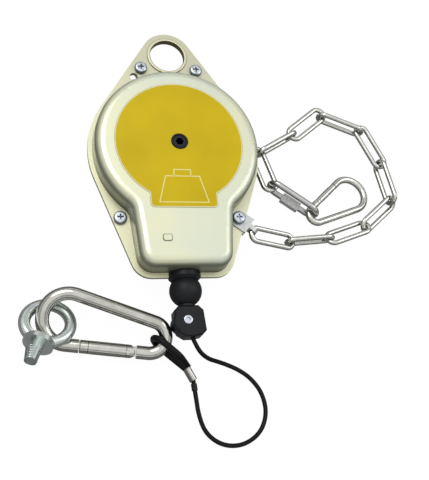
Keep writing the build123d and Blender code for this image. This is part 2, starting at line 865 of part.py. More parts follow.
def clamp_outline():
    """Outline of the clamp: sloping shoulders, a lobe on the left and a cut corner on the right."""
    with BuildSketch() as outline:
        with BuildLine():
            Polyline(
                (-clamp_top_half_width, clamp_top_y),
                (clamp_top_half_width, clamp_top_y),
                (clamp_half_width - clamp_inset, clamp_top_y - clamp_shoulder),
                (clamp_half_width, clamp_bottom_y + 4.0),
                (clamp_half_width - 3.0, clamp_bottom_y + 1.0),
                (3.5, clamp_bottom_y),
                (-3.0, clamp_bottom_y),
                (3.4 - clamp_half_width, clamp_bottom_y + 3.0),
                (clamp_inset - clamp_half_width, clamp_bottom_y + 9.0),
                (clamp_inset - clamp_half_width, clamp_top_y - clamp_shoulder),
                close=True,
            )
        make_face()
        with Locations((clamp_lobe_radius - clamp_half_width, clamp_screw_at[1] - 1.5)):
            Circle(clamp_lobe_radius)
    return outline.sketch


def make_clamp():
    """Two clamp halves split in the rope's plane, with the rope bent round the screw between them."""
    outline = clamp_outline()
    screw_x, screw_y = clamp_screw_at
    route = stop_path()
    through = route[-1] + (route[-1] - route[-2])
    with BuildPart() as channel:
        with BuildLine() as path:
            FilletPolyline(*route[:-1], through, radius=rope_stop_bend)
        with BuildSketch(Plane(path.line @ 0, z_dir=path.line % 0)):
            Circle(rope_radius + run_fit)
        sweep(path=path.line)
    halves = {"clamp_front": 1, "clamp_rear": -1}
    for name, side in halves.items():
        with BuildPart() as half:
            with BuildSketch(Plane.XY.offset(rope_z + side * slack)):
                add(outline)
            extrude(amount=side * (clamp_half_thickness - slack))
            outer = half.faces().filter_by(Plane.XY).sort_by(Axis.Z)[-1 if side > 0 else 0]
            chamfer(outer.edges(), clamp_chamfer)
            add(channel.part, mode=Mode.SUBTRACT)
            outer_z = rope_z + side * clamp_half_thickness
            with BuildSketch(Plane.XY.offset(rope_z)):
                with Locations((screw_x, screw_y)):
                    Circle(clamp_screw_radius + run_fit)
            extrude(amount=side * clamp_half_thickness, mode=Mode.SUBTRACT)
            with BuildSketch(Plane.XY.offset(outer_z)):
                with Locations((screw_x, screw_y)):
                    Circle(clamp_head_radius + slack)
            extrude(amount=-side * clamp_head_height, mode=Mode.SUBTRACT)
        save(half.part, name)
    with BuildPart() as screw:
        head_z = rope_z + clamp_half_thickness - clamp_head_height
        end_z = rope_z - clamp_half_thickness + clamp_head_height
        with BuildSketch(Plane.XY.offset(head_z)):
            with Locations((screw_x, screw_y)):
                Circle(clamp_head_radius)
        extrude(amount=clamp_head_height)
        fillet(screw.faces().sort_by(Axis.Z)[-1].edges(), clamp_head_crown)
        with BuildSketch(Plane.XY.offset(end_z)):
            with Locations((screw_x, screw_y)):
                Circle(clamp_screw_radius)
        extrude(amount=head_z - end_z)
        with BuildSketch(Plane.XY.offset(end_z)):
            with Locations((screw_x, screw_y)):
                RegularPolygon(clamp_head_radius, 6)
        extrude(amount=2 * slack - clamp_head_height)
        with BuildSketch(Plane.XY.offset(head_z + clamp_head_height)):
            with Locations((screw_x, screw_y)):
                RegularPolygon(clamp_key_radius, 6, major_radius=False)
        extrude(amount=-clamp_key_depth, mode=Mode.SUBTRACT)
    save(screw.part, "clamp_screw")
    with BuildPart() as rope:
        with BuildLine() as path:
            FilletPolyline(*stop_path(), radius=rope_stop_bend)
        with BuildSketch(Plane(path.line @ 0, z_dir=path.line % 0)):
            Circle(rope_radius)
        sweep(path=path.line)
    save(rope.part, "stop_rope")


def corner_radii(points):
    """Largest radius that each corner's two runs leave room for."""
    radii = []
    for before, corner, after in zip(points, points[1:], points[2:]):
        run_in = Vector(*corner) - Vector(*before)
        run_out = Vector(*after) - Vector(*corner)
        turn = math.radians(run_in.get_angle(run_out))
        shorter = min(run_in.length, run_out.length)
        radii.append(rope_arc_share * shorter / math.tan(turn / 2))
    return radii


def make_rope_loop():
    """Free rope from the clamp round the loop on the floor to the ferrule."""
    radii = corner_radii(rope_route)
    print("rope loop radii", [round(r, 1) for r in radii])
    start, along = ferrule_frame()
    with BuildPart() as rope:
        with BuildLine() as path:
            FilletPolyline(*rope_route, radius=radii)
        with BuildSketch(Plane(path.line @ 0, z_dir=path.line % 0)):
            Circle(rope_radius)
        sweep(path=path.line)
        length = sum(edge.length for edge in path.edges())
        share = rope.part.volume / (math.pi * rope_radius**2 * length)
        print("rope loop length", round(length, 1), "volume share", round(share, 4))
        with BuildSketch(Plane(start + Vector(0, 0, rope_route[-1][2]), z_dir=along)):
            Rectangle(4 * rope_radius, 4 * rope_radius)
        extrude(amount=2 * rope_radius, mode=Mode.SUBTRACT)
    save(rope.part, "rope_loop")
    end = Vector(*rope_route[-1])
    back = (Vector(*rope_route[-2]) - end).normalized()
    with BuildPart() as sleeve:
        with BuildSketch(Plane(end + back * sleeve_offset, z_dir=back)):
            Circle(rope_radius + sleeve_wall)
            Circle(rope_radius + press_fit, mode=Mode.SUBTRACT)
        extrude(amount=sleeve_length)
    save(sleeve.part, "rope_sleeve")


def ferrule_frame():
    """Where the ferrule starts on the floor, and its direction."""
    return Vector(*ferrule_at, 0), unit(ferrule_heading)


def eye_frame():
    """Where the eye leaves the ferrule on the floor, and the direction to the carabiner."""
    start, along = ferrule_frame()
    return start + along * ferrule_length, unit(eye_heading)


def on_eye(distance, height):
    start, along = eye_frame()
    return start + along * distance + Vector(0, 0, height)


def wire_cross():
    """Distance along the eye to the carabiner's wire, and the wire's height there."""
    start, along = eye_frame()
    plane = carabiner_plane()
    best = None
    for step in range(-90, 91):
        a = math.radians(step)
        local = Vector(carabiner_span + carabiner_end * math.cos(a), carabiner_end * math.sin(a))
        point = plane.from_local_coords(local)
        flat = Vector(point.X, point.Y, 0) - start
        forward = flat.dot(along)
        aside = (flat - along * forward).length
        if best is None or aside < best[0]:
            best = (aside, forward, point.Z)
    return best[1], best[2]


def carabiner_plane():
    return rolled_plane(Vector(*carabiner_origin), unit(carabiner_heading, carabiner_pitch), carabiner_tilt)


def make_ferrule_and_eye():
    start, along = ferrule_frame()
    side = Vector(0, 0, 1).cross(along)
    section = Plane(start + Vector(0, 0, ferrule_height / 2 + slack), x_dir=side, z_dir=along)
    with BuildPart() as ferrule:
        with BuildSketch(section):
            SlotOverall(ferrule_height, ferrule_width, rotation=90)
        extrude(amount=ferrule_length)
        ends = ferrule.faces().filter_by(GeomType.PLANE).sort_by_distance(start)
        fillet(ends[0].edges(), ferrule_edge_radius)
    save(ferrule.part, "rope_ferrule")
    cross, wire_z = wire_cross()
    bend = carabiner_wire + eye_tube_radius + eye_gap
    low = wire_z - bend
    high = wire_z + bend
    far = cross + bend
    back = -eye_tail
    route = [on_eye(back, low + press_fit), on_eye(far, low + press_fit), on_eye(far, high)]
    route += [on_eye(eye_slope_run, high - 1.0), on_eye(back, eye_tube_radius * 3 + 0.2)]
    radii = [bend * 0.999, bend * 0.98, eye_top_bend]
    with BuildPart() as eye:
        with BuildLine() as path:
            FilletPolyline(*route, radius=radii)
        with BuildSketch(Plane(path.line @ 0, z_dir=path.line % 0)):
            Circle(eye_tube_radius)
        sweep(path=path.line)
        split(bisect_by=Plane(start + along * ferrule_length, z_dir=along), keep=Keep.TOP)
    print("eye low", round(low, 2), "high", round(high, 2), "cross", round(cross, 2))
    save(eye.part, "rope_eye")


def hook(prefix, plane, wire, bow, end, span, gate_start, gate_length):
    """A sprung hook: wire body with two tongues, a slotted gate between them and its hinge pin."""
    lean = math.degrees(math.asin((bow - end) / span))
    left = Vector(bow * math.sin(math.radians(lean)), -bow * math.cos(math.radians(lean)))
    right = Vector(span + end * math.sin(math.radians(lean)), -end * math.cos(math.radians(lean)))
    along = (right - left).normalized()
    side_length = (right - left).length
    nose = left + along * side_length * gate_start
    hinge = nose + along * (gate_length + gate_tip_gap)
    tongue = wire * hook_tongue_share
    pin_radius = wire * hook_pin_share
    shoulder = hinge + along * wire * 1.25
    gate_x = plane.x_dir * along.X + plane.y_dir * along.Y
    gate_plane = Plane(plane.from_local_coords(Vector(nose.X, nose.Y, 0)), x_dir=gate_x, z_dir=plane.z_dir)
    hinge_x = gate_length + gate_tip_gap
    with BuildPart() as frame:
        with BuildLine(plane) as path:
            Line((nose.X, nose.Y), (left.X, left.Y))
            CenterArc((0, 0), bow, -90 + lean, -180 - 2 * lean)
            Line((left.X, -left.Y), (right.X, -right.Y))
            CenterArc((span, 0), end, 90 - lean, -180 + 2 * lean)
            Line((right.X, right.Y), (shoulder.X, shoulder.Y))
        with BuildSketch(Plane(path.line @ 0, z_dir=path.line % 0)):
            Circle(wire)
        sweep(path=path.line)
        with BuildSketch(gate_plane.offset(-tongue / 2)):
            with BuildLine():
                Polyline(
                    (-0.4 * wire, -wire * 0.8),
                    (1.35 * wire, -wire * 0.8),
                    (1.35 * wire, wire * 0.35),
                    (0.9 * wire, wire * 0.35),
                    (0.7 * wire, wire * 0.75),
                    (-0.4 * wire, wire * 0.75),
                    close=True,
                )
            make_face()
            with Locations((hinge_x + wire * 0.7, 0)):
                Rectangle(wire * 1.4, wire * 1.5)
            with Locations((hinge_x, 0)):
                Circle(wire * 0.75)
                Circle(pin_radius + run_fit, mode=Mode.SUBTRACT)
        extrude(amount=tongue)
    save(frame.part, f"{prefix}_body")
    slot = tongue + 2 * slack
    with BuildPart() as gate:
        with BuildSketch(Plane(gate_plane.from_local_coords(Vector(gate_tip_gap, 0, 0)), z_dir=gate_plane.x_dir)):
            Circle(wire)
        extrude(amount=gate_length + wire)
        with BuildSketch(gate_plane.offset(-1.2 * wire)):
            with Locations((gate_tip_gap, 0)):
                Rectangle(gate_length, 2.2 * wire, align=(Align.MIN, Align.CENTER))
            with Locations((hinge_x, 0)):
                Circle(wire)
        extrude(amount=2.4 * wire, mode=Mode.INTERSECT)
        with BuildSketch(gate_plane.offset(-slot / 2)):
            Rectangle(1.75 * wire, 3 * wire, align=(Align.MIN, Align.CENTER))
            with Locations((hinge_x - wire * 0.95, 0)):
                Rectangle(3 * wire, 3 * wire, align=(Align.MIN, Align.CENTER))
        extrude(amount=slot, mode=Mode.SUBTRACT)
        with BuildSketch(gate_plane.offset(-wire)):
            with Locations((hinge_x, 0)):
                Circle(pin_radius + run_fit)
        extrude(amount=2 * wire, mode=Mode.SUBTRACT)
    save(gate.part, f"{prefix}_gate")
    with BuildPart() as pin:
        with BuildSketch(gate_plane.offset(-wire * 0.97)):
            with Locations((hinge_x, 0)):
                Circle(pin_radius)
        extrude(amount=2 * wire * 0.97)
    save(pin.part, f"{prefix}_pin")
    pivot = gate_plane.from_local_coords(Vector(hinge_x, 0, 0))
    print(prefix, "gate pivot", [round(v, 3) for v in pivot], "axis", [round(v, 5) for v in plane.z_dir])
    turn = plane.from_local_coords(Vector(span, 0, 0))
    print(prefix, "end centre", [round(v, 3) for v in turn])


def make_eye_bolt():
    """Lifting eye bolt: a ring on a collar, with the shank that screws into the tool."""
    shank = unit(ring_heading, ring_tilt)
    plane = rolled_plane(Vector(*ring_centre), shank, ring_roll)
    collar_low = ring_collar_distance - ring_collar_height
    with BuildPart() as bolt:
        with BuildSketch(Plane(plane.from_local_coords(Vector(0, ring_radius, 0)), x_dir=plane.y_dir, z_dir=shank)):
            Circle(ring_wire)
        revolve(axis=Axis(plane.origin, plane.z_dir))
        with BuildSketch(Plane(origin=plane.origin, x_dir=plane.y_dir, z_dir=plane.z_dir * -1)):
            with BuildLine():
                Polyline(
                    (0, ring_radius - ring_collar_edge),
                    (ring_wire * 1.2, ring_radius - ring_collar_edge),
                    (ring_collar_radius - ring_collar_edge, collar_low),
                    (ring_collar_radius, collar_low + ring_collar_edge),
                    (ring_collar_radius, ring_collar_distance),
                    (tool_stud_radius, ring_collar_distance),
                    (tool_stud_radius, ring_collar_distance + tool_stud_length),
                    (0, ring_collar_distance + tool_stud_length),
                    close=True,
                )
            make_face()
        revolve(axis=Axis(plane.origin, shank))
    middle = plane.origin + shank * (ring_collar_distance + tool_stud_length / 2)
    print("tool stud", [round(v, 3) for v in middle], [round(v, 5) for v in shank])
    save(bolt.part, "eye_bolt")


def bracket_end():
    x, y = bottom_screw_at
    along = unit(strap_heading)
    return Vector(x, y, seam_z) + along * strap_reach


def make_bracket():
    """Strap folded round the first link, its two ends clamped over and under the flanges."""
    x, y = bottom_screw_at
    along = unit(strap_heading)
    bend = chain_wire + strap_bend_gap + strap / 2
    top = flange_top_z + strap / 2 - seam_z
    narrow = strap_reach - chain_wire - strap_fold_gap
    split_at = narrow - strap_fold_gap / 2
    profile = Plane((x, y, seam_z), x_dir=along, z_dir=along.cross(Vector(0, 0, 1)))
    with BuildPart() as bracket:
        with BuildSketch(profile.offset(-strap_width / 2)):
            with BuildLine():
                Polyline((-strap_tail, top), (narrow - strap_fold, top), (narrow, bend), (strap_reach, bend))
                CenterArc((strap_reach, 0), bend, 90, -180)
                Polyline((strap_reach, -bend), (narrow, -bend), (narrow - strap_fold, -top), (-strap_tail, -top))
            trace(line_width=strap)
        extrude(amount=strap_width)
        with BuildSketch(Plane((x, y, seam_z - strap_reach), x_dir=along, z_dir=(0, 0, 1))):
            with Locations((split_at, strap_tongue / 2), (split_at, -strap_tongue / 2 - strap_width)):
                Rectangle(2 * strap_reach, strap_width, align=(Align.MIN, Align.MIN))
            Circle(screw_radius + screw_fit)
        extrude(amount=2 * strap_reach, mode=Mode.SUBTRACT)
        tails = bracket.edges().filter_by(Axis.Z).group_by(Axis(profile.origin, along * -1))[-1]
        fillet(tails, strap_tail_round)
    save(bracket.part, "chain_bracket")


def wire_link(label, plane, wire, inner_length, half_width):
    """Long oval link: two straight legs joined by half rings."""
    straight = inner_length / 2 + wire - half_width
    with BuildPart() as link:
        with BuildLine(plane) as path:
            Line((0, half_width), (straight, half_width))
            CenterArc((straight, 0), half_width, 90, -180)
            Line((straight, -half_width), (0, -half_width))
        with BuildSketch(Plane(path.line @ 0, z_dir=path.line % 0)):
            Circle(wire)
        sweep(path=path.line)
        mirror(about=Plane(plane.origin, z_dir=plane.x_dir))
    save(link.part, label)


def hooked(plane, arc, reach, turn, roll, length, end_z):
    """Plane of a link hooked into the far arc of the one at plane; length joins its two arc centres."""
    start = plane.from_local_coords(Vector(arc, 0, 0))
    pitch = 0.0
    for _ in range(6):
        follow = rolled_plane(start, unit(turn, pitch), roll)
        line = plane.z_dir.cross(follow.z_dir).normalized()
        if line.dot(plane.x_dir) < 0:
            line = line * -1
        near = start + line * reach
        pitch = math.degrees(math.asin((end_z - near.Z) / length))
    return rolled_plane(near + unit(turn, pitch) * length / 2, unit(turn, pitch), roll)


def chain_planes():
    """Planes of the chain's links, from the one in the bracket's fold to the last."""
    arc = chain_inner_length / 2 + chain_wire - chain_half_width
    first = rolled_plane(bracket_end(), unit(chain_headings[0], chain_first_pitch), chain_rolls[0])
    skew = math.radians(strap_heading - chain_headings[0])
    toward = first.x_dir * math.cos(skew) + first.y_dir * math.sin(skew)
    centre = bracket_end() + toward * chain_half_width + first.x_dir * arc
    planes = [rolled_plane(centre, first.x_dir, chain_rolls[0])]
    for index in range(1, len(chain_headings)):
        reach = 2 * (chain_half_width - chain_wire) - chain_gap - chain_slack[index - 1]
        last = index == len(chain_headings) - 1
        end_z = chain_end_z if last else chain_rest_z
        heading, roll = chain_headings[index], chain_rolls[index]
        planes.append(hooked(planes[-1], arc, reach, heading, roll, 2 * arc, end_z))
    return planes


def make_chain():
    arc = chain_inner_length / 2 + chain_wire - chain_half_width
    for index, plane in enumerate(chain_planes(), 1):
        wire_link(f"chain_link_{index:02d}", plane, chain_wire, chain_inner_length, chain_half_width)
        near = plane.from_local_coords(Vector(-arc, 0, 0))
        far = plane.from_local_coords(Vector(arc, 0, 0))
        print("link", index, "arc centres", [round(v, 3) for v in near], [round(v, 3) for v in far])


def quick_frame():
    """Plane of the quick link, standing on edge in the chain's last link."""
    arc = chain_inner_length / 2 + chain_wire - chain_half_width
    reach = chain_half_width + quick_half_width - chain_wire - quick_wire - chain_gap
    length = quick_inner_length + 2 * (quick_wire - quick_half_width)
    return hooked(chain_planes()[-1], arc, reach, quick_heading, 90.0, length, quick_centre_z)


def make_quick_link():
    """Screw link: an oval ring open at one leg, closed there by a threaded sleeve."""
    plane = quick_frame()
    straight = quick_inner_length / 2 + quick_wire - quick_half_width
    half_gap = quick_thread_gap / 2
    with BuildPart() as link:
        with BuildLine(plane) as path:
            Line((half_gap, -quick_half_width), (straight, -quick_half_width))
            CenterArc((straight, 0), quick_half_width, -90, 180)
            Line((straight, quick_half_width), (-straight, quick_half_width))
            CenterArc((-straight, 0), quick_half_width, 90, 180)
            Line((-straight, -quick_half_width), (-half_gap, -quick_half_width))
        with BuildSketch(Plane(path.line @ 0, z_dir=path.line % 0)):
            Circle(quick_wire)
        sweep(path=path.line)
    save(link.part, "quick_link_body")
    nut_start = plane.from_local_coords(Vector(-quick_nut_length / 2, -quick_half_width, 0))
    nut_plane = Plane(nut_start, x_dir=(0, 0, 1), z_dir=plane.x_dir)
    with BuildPart() as nut:
        with BuildSketch(nut_plane):
            RegularPolygon(quick_nut_flats / 2, 6, major_radius=False)
            Circle(quick_wire + quick_nut_bore_gap, mode=Mode.SUBTRACT)
        extrude(amount=quick_nut_length)
    save(nut.part, "quick_link_nut")
    print("quick link x_dir", [round(v, 5) for v in plane.x_dir], "z_dir", [round(v, 5) for v in plane.z_dir])
    ends = [plane.from_local_coords(Vector(s * straight, 0, 0)) for s in (-1, 1)]
    print("quick link ends", [[round(v, 3) for v in p] for p in ends])


def snap_plane():
    """Plane of the snap hook: bow on the floor, narrow end raised into the quick link."""
    quick = quick_frame()
    arc = quick_inner_length / 2 + quick_wire - quick_half_width
    reach = quick_half_width + snap_end - quick_wire - snap_wire - snap_gap
    start = quick.from_local_coords(Vector(arc, 0, 0))
    along = unit(snap_heading, snap_pitch)
    tilted = rolled_plane(start, along, 0.0)
    line = quick.z_dir.cross(tilted.z_dir).normalized()
    if line.dot(quick.x_dir) < 0:
        line = line * -1
    return rolled_plane(start + line * reach - along * snap_span, along, 0.0)


def make_hooks():
    hook(
        "carabiner",
        carabiner_plane(),
        carabiner_wire,
        carabiner_bow,
        carabiner_end,
        carabiner_span,
        carabiner_gate_start,
        carabiner_gate_length,
    )
    hook(
        "snap_hook",
        snap_plane(),
        snap_wire,
        snap_bow,
        snap_end,
        snap_span,
        snap_gate_start,
        snap_gate_length,
    )


make_covers()
make_label()
make_screws()
make_nuts()
make_eye_bush()
make_bearings()
make_arbor()
make_ratchet()
make_drum()
make_main_spring()
make_wound_rope()
make_inner_rope()
make_nozzle()
make_ball()
make_clamp()
make_rope_loop()
make_ferrule_and_eye()
make_hooks()
make_eye_bolt()
make_bracket()
make_chain()
make_quick_link()
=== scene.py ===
import math
import bmesh
import bpy
import numpy as np
from mathutils import Matrix, Vector


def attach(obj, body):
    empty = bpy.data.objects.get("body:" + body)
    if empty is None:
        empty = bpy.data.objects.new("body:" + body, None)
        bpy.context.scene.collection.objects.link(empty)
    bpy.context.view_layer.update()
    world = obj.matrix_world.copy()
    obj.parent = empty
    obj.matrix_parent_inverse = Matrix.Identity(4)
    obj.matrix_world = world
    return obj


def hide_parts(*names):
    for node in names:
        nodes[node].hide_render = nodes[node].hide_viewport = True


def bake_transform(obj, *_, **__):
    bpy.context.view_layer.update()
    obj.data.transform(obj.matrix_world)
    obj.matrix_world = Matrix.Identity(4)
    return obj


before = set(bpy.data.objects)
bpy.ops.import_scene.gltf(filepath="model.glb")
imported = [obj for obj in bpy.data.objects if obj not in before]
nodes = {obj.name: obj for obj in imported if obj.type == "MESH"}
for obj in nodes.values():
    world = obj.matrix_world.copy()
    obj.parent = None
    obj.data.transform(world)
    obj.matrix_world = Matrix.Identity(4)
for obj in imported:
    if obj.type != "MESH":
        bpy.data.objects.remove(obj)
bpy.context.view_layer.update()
mm = 0.001
seam = 18.5  # level in millimetres at which the two covers meet
print("frame loaded:", len(nodes), "nodes")


def metres(*lengths):
    return tuple(length * mm for length in lengths)


def linear(r, g, b):
    # screen tone to the linear value that a shader takes
    return tuple(((c / 255 + 0.055) / 1.055) ** 2.4 if c > 10 else c / 255 / 12.92 for c in (r, g, b))


class Val:
    # a socket of a shader tree; sums and products of these add Math nodes
    def __init__(self, shading, socket):
        self.shading = shading
        self.socket = socket

    def math(self, operation, other=None, flipped=False):
        terms = (other, self) if flipped else (self, other)
        given = {place: term for place, term in enumerate(terms) if term is not None}
        made = self.shading.node("ShaderNodeMath", given, operation=operation)
        return Val(self.shading, made.outputs[0])

    def __add__(self, other):
        return self.math("ADD", other)

    def __radd__(self, other):
        return self.math("ADD", other, True)

    def __sub__(self, other):
        return self.math("SUBTRACT", other)

    def __rsub__(self, other):
        return self.math("SUBTRACT", other, True)

    def __mul__(self, other):
        return self.math("MULTIPLY", other)

    def __rmul__(self, other):
        return self.math("MULTIPLY", other, True)

    def __gt__(self, other):
        return self.math("GREATER_THAN", other)

    def __lt__(self, other):
        return self.math("LESS_THAN", other)

    def __neg__(self):
        return self.math("MULTIPLY", -1.0)

    def __abs__(self):
        return self.math("ABSOLUTE")

    def sin(self):
        return self.math("SINE")

    def root(self):
        return self.math("SQRT")

    def top(self, other):
        return self.math("MAXIMUM", other)

    def low(self, other):
        return self.math("MINIMUM", other)


class Shading:
    # a node tree, where every node comes from one method
    def __init__(self, tree):
        self.tree = tree

    def node(self, kind, sockets=None, **settings):
        made = self.tree.nodes.new(kind)
        for key, value in settings.items():
            if key == "stops":
                ramp = made.color_ramp
                while len(ramp.elements) < len(value):
                    ramp.elements.new(0.5)
                for element, (position, tone) in zip(ramp.elements, value):
                    element.position = position
                    element.color = (tone, tone, tone, 1.0)
            else:
                setattr(made, key, value)
        for key, value in (sockets or {}).items():
            slot = made.inputs[key]
            if isinstance(value, Val):
                value = value.socket
            if isinstance(value, bpy.types.NodeSocket):
                self.tree.links.new(value, slot)
            elif slot.type == "RGBA":
                slot.default_value = (*value, 1.0)
            else:
                slot.default_value = value
        return made

    def blend(self, factor, low, high):
        # low where the factor is 0, high where it is 1; a Mix node's colours are at 6, 7 and 2
        made = self.node("ShaderNodeMix", {0: factor, 6: low, 7: high}, data_type="RGBA")
        return Val(self, made.outputs[2])

    def split(self, vector):
        return [Val(self, part) for part in self.node("ShaderNodeSeparateXYZ", {0: vector}).outputs]


noiseSpan = (0.3, 0.7)  # nearly all of a noise lies between these


class Finish(Shading):
    # one material, with the shader's fixed numbers set on its own sockets
    def __init__(self, name, fixed):
        self.material = bpy.data.materials.new(name)
        self.material.use_nodes = True
        super().__init__(self.material.node_tree)
        self.shader = self.tree.nodes["Principled BSDF"]
        for socket, value in fixed.items():
            self.shader.inputs[socket].default_value = value
        self.place = self.node("ShaderNodeTexCoord").outputs["Object"]
        self.x, self.y, self.z = self.split(self.place)
        self.nz = self.split(self.node("ShaderNodeNewGeometry").outputs["Normal"])[2]

    def noise(self, scale, detail, rough):
        sockets = {"Vector": self.place, "Scale": scale, "Detail": detail, "Roughness": rough}
        return Val(self, self.node("ShaderNodeTexNoise", sockets).outputs["Fac"])

    def step(self, value, low, high):
        # 0 at low, 1 at high, straight between and flat beyond; low may be the greater
        sockets = {"Value": value, "From Min": low, "From Max": high}
        return Val(self, self.node("ShaderNodeMapRange", sockets).outputs[0])

    def away(self, x, y):
        # distance from an upright axis
        return ((self.x - x) * (self.x - x) + (self.y - y) * (self.y - y)).root()

    def along(self, axis):
        a, b, c = (float(v) for v in axis)
        return self.x * a + self.y * b + self.z * c

    def awayFrom(self, origin, axis):
        # distance from a slanted axis
        back = [place - float(start) for place, start in zip((self.x, self.y, self.z), origin)]
        a, b, c = (float(v) for v in axis)
        on = back[0] * a + back[1] * b + back[2] * c
        across = [part - on * share for part, share in zip(back, (a, b, c))]
        return (across[0] * across[0] + across[1] * across[1] + across[2] * across[2]).root()

    def boxEdge(self, x, y, wide, high, radius):
        # signed distance to the edge of a rectangle with round corners, given by its half sizes
        dx = (abs(self.x - x) - (wide - radius)).top(0.0)
        dy = (abs(self.y - y) - (high - radius)).top(0.0)
        return (dx * dx + dy * dy).root() - radius

    def set(self, socket, value):
        self.tree.links.new(value.socket, self.shader.inputs[socket])

    def setRoughness(self, pattern, low, high):
        self.set("Roughness", self.step(pattern, *noiseSpan) * (high - low) + low)

    def bump(self, height, distance, strength):
        sockets = {"Height": height, "Distance": distance, "Strength": strength}
        self.set("Normal", Val(self, self.node("ShaderNodeBump", sockets).outputs[0]))


def dress(material, *names):
    for name in names:
        slots = nodes[name].data.materials
        slots.clear()
        slots.append(material)


def cloudOf(name):
    node = nodes[name]
    return np.array([node.matrix_world @ v.co for v in node.data.vertices])


def longAxis(points):
    # middle of the points and the direction in which they reach furthest
    middle = points.mean(axis=0)
    spread = np.linalg.svd(points - middle, full_matrices=False)[2]
    return middle, spread[0]


view = {
    "place": (-0.11687, -0.24516, 0.51394),
    "axes": ((0.9665, 0.0022, -0.2568), (-0.0899, 0.9396, -0.3304), (0.2405, 0.3424, 0.9082)),
    "lens": 59.80,
    "sensor": 36.0,
}


def makeCamera():
    data = bpy.data.cameras.new("photoCamera")
    data.sensor_width = view["sensor"]
    data.lens = view["lens"]
    camera = bpy.data.objects.new("photoCamera", data)
    camera.matrix_world = Matrix.Translation(view["place"]) @ Matrix(view["axes"]).to_4x4()
    bpy.context.scene.collection.objects.link(camera)
    bpy.context.scene.camera = camera
    bpy.context.scene.view_settings.view_transform = "Standard"


studio = {
    "floorHalf": 3.0,
    "floorLevel": -0.0004,
    "floorTone": 0.86,
    "floorRough": 0.9,
    # what the floor shows to a kind of ray: share of plain glow, and its strength
    "floorGlow": (("Is Glossy Ray", 0.92, 0.20), ("Is Camera Ray", 0.93, 1.04)),
    # brightness of the sky as metal mirrors it, from straight down to straight up
    "skyBands": (
        (0.0, 0.10), (0.14, 0.06), (0.26, 0.75), (0.40, 0.95),
        (0.50, 0.30), (0.66, 0.42), (0.80, 1.0), (1.0, 1.0),
    ),
    "ambient": 0.56,
    "aim": (0.03, -0.03, 0.0),
    "lamps": (
        {"name": "keyPanel", "place": (-0.5, 0.55, 1.25), "size": 0.9, "watts": 7.0},
        {"name": "fillPanel", "place": (0.95, 0.1, 0.9), "size": 0.7, "watts": 2.6},
    ),
}


def makeFloor():
    mesh = bpy.data.meshes.new("floor")
    half, level = studio["floorHalf"], studio["floorLevel"]
    corners = [(x * half, y * half, level) for x, y in ((-1, -1), (1, -1), (1, 1), (-1, 1))]
    mesh.from_pydata(corners, [], [(0, 1, 2, 3)])
    floor = bpy.data.objects.new("floor", mesh)
    bpy.context.scene.collection.objects.link(floor)
    material = bpy.data.materials.new("floorPaper")
    material.use_nodes = True
    paper = Shading(material.node_tree)
    shader = paper.tree.nodes["Principled BSDF"]
    shader.inputs["Base Color"].default_value = (studio["floorTone"],) * 3 + (1.0,)
    shader.inputs["Roughness"].default_value = studio["floorRough"]
    path = paper.node("ShaderNodeLightPath")
    last = shader.outputs[0]
    # the share that isn't glow keeps the object's shadow
    for ray, share, strength in studio["floorGlow"]:
        glow = paper.node("ShaderNodeEmission", {"Strength": strength})
        part = Val(paper, path.outputs[ray]) * share
        last = paper.node("ShaderNodeMixShader", {0: part, 1: last, 2: glow.outputs[0]}).outputs[0]
    paper.tree.links.new(last, paper.tree.nodes["Material Output"].inputs["Surface"])
    mesh.materials.append(material)


def makeWorld():
    # banded for mirrored rays, even for diffuse ones, white behind the object
    world = bpy.data.worlds.new("studio")
    bpy.context.scene.world = world
    world.use_nodes = True
    sky = Shading(world.node_tree)
    height = sky.split(sky.node("ShaderNodeTexCoord").outputs["Generated"])[2]
    bands = sky.node("ShaderNodeValToRGB", {"Fac": height}, stops=studio["skyBands"])
    path = sky.node("ShaderNodeLightPath")
    plain = sky.blend(path.outputs["Is Glossy Ray"], (studio["ambient"],) * 3, bands.outputs["Color"])
    seen = sky.blend(path.outputs["Is Camera Ray"], plain, (1.0, 1.0, 1.0))
    back = sky.tree.nodes["Background"]
    sky.tree.links.new(seen.socket, back.inputs["Color"])
    back.inputs["Strength"].default_value = 1.0


def makeLamps():
    for entry in studio["lamps"]:
        lamp = bpy.data.lights.new(entry["name"], "AREA")
        lamp.shape = "DISK"
        lamp.size = entry["size"]
        lamp.energy = entry["watts"]
        holder = bpy.data.objects.new(entry["name"], lamp)
        holder.location = entry["place"]
        away = Vector(entry["place"]) - Vector(studio["aim"])
        holder.rotation_euler = away.to_track_quat("Z", "Y").to_euler()
        bpy.context.scene.collection.objects.link(holder)


makeCamera()
makeFloor()
makeWorld()
makeLamps()
print("camera, floor and light set")


housingLook = {
    "metallic": 0.5,
    "plate": linear(228, 232, 208),
    "plateShare": 0.45,
    "cool": linear(206, 216, 206),
    "warm": linear(236, 234, 190),
    "clouded": (0.35, 0.70),
    # heights are from the seam, facing is how far the surface looks up or down
    "flange": {"tint": linear(240, 238, 200), "height": (4.0, 2.0), "share": 0.7},
    "boss": {"tint": linear(172, 171, 150), "y": (30.0, 75.0), "share": 0.5},
    # painted shade: the wall tint on sideways faces, the foot tint where walls meet the flange
    "wall": {"tint": linear(120, 124, 106), "facing": (0.80, 0.42), "above": 1.7, "share": 0.9},
    "foot": {"tint": linear(50, 53, 43), "height": (9.0, 3.0)},
    "cut": {"facing": (0.7, 0.2), "below": 1.6, "share": 0.7},
    "rough": (0.26, 0.42),
    "emboss": {
        "x": -13.2, "y": -69.8, "wide": 3.0, "high": 2.3, "radius": 1.2,
        "line": (0.44, 0.22), "level": 30.0, "share": 0.8,
    },
}


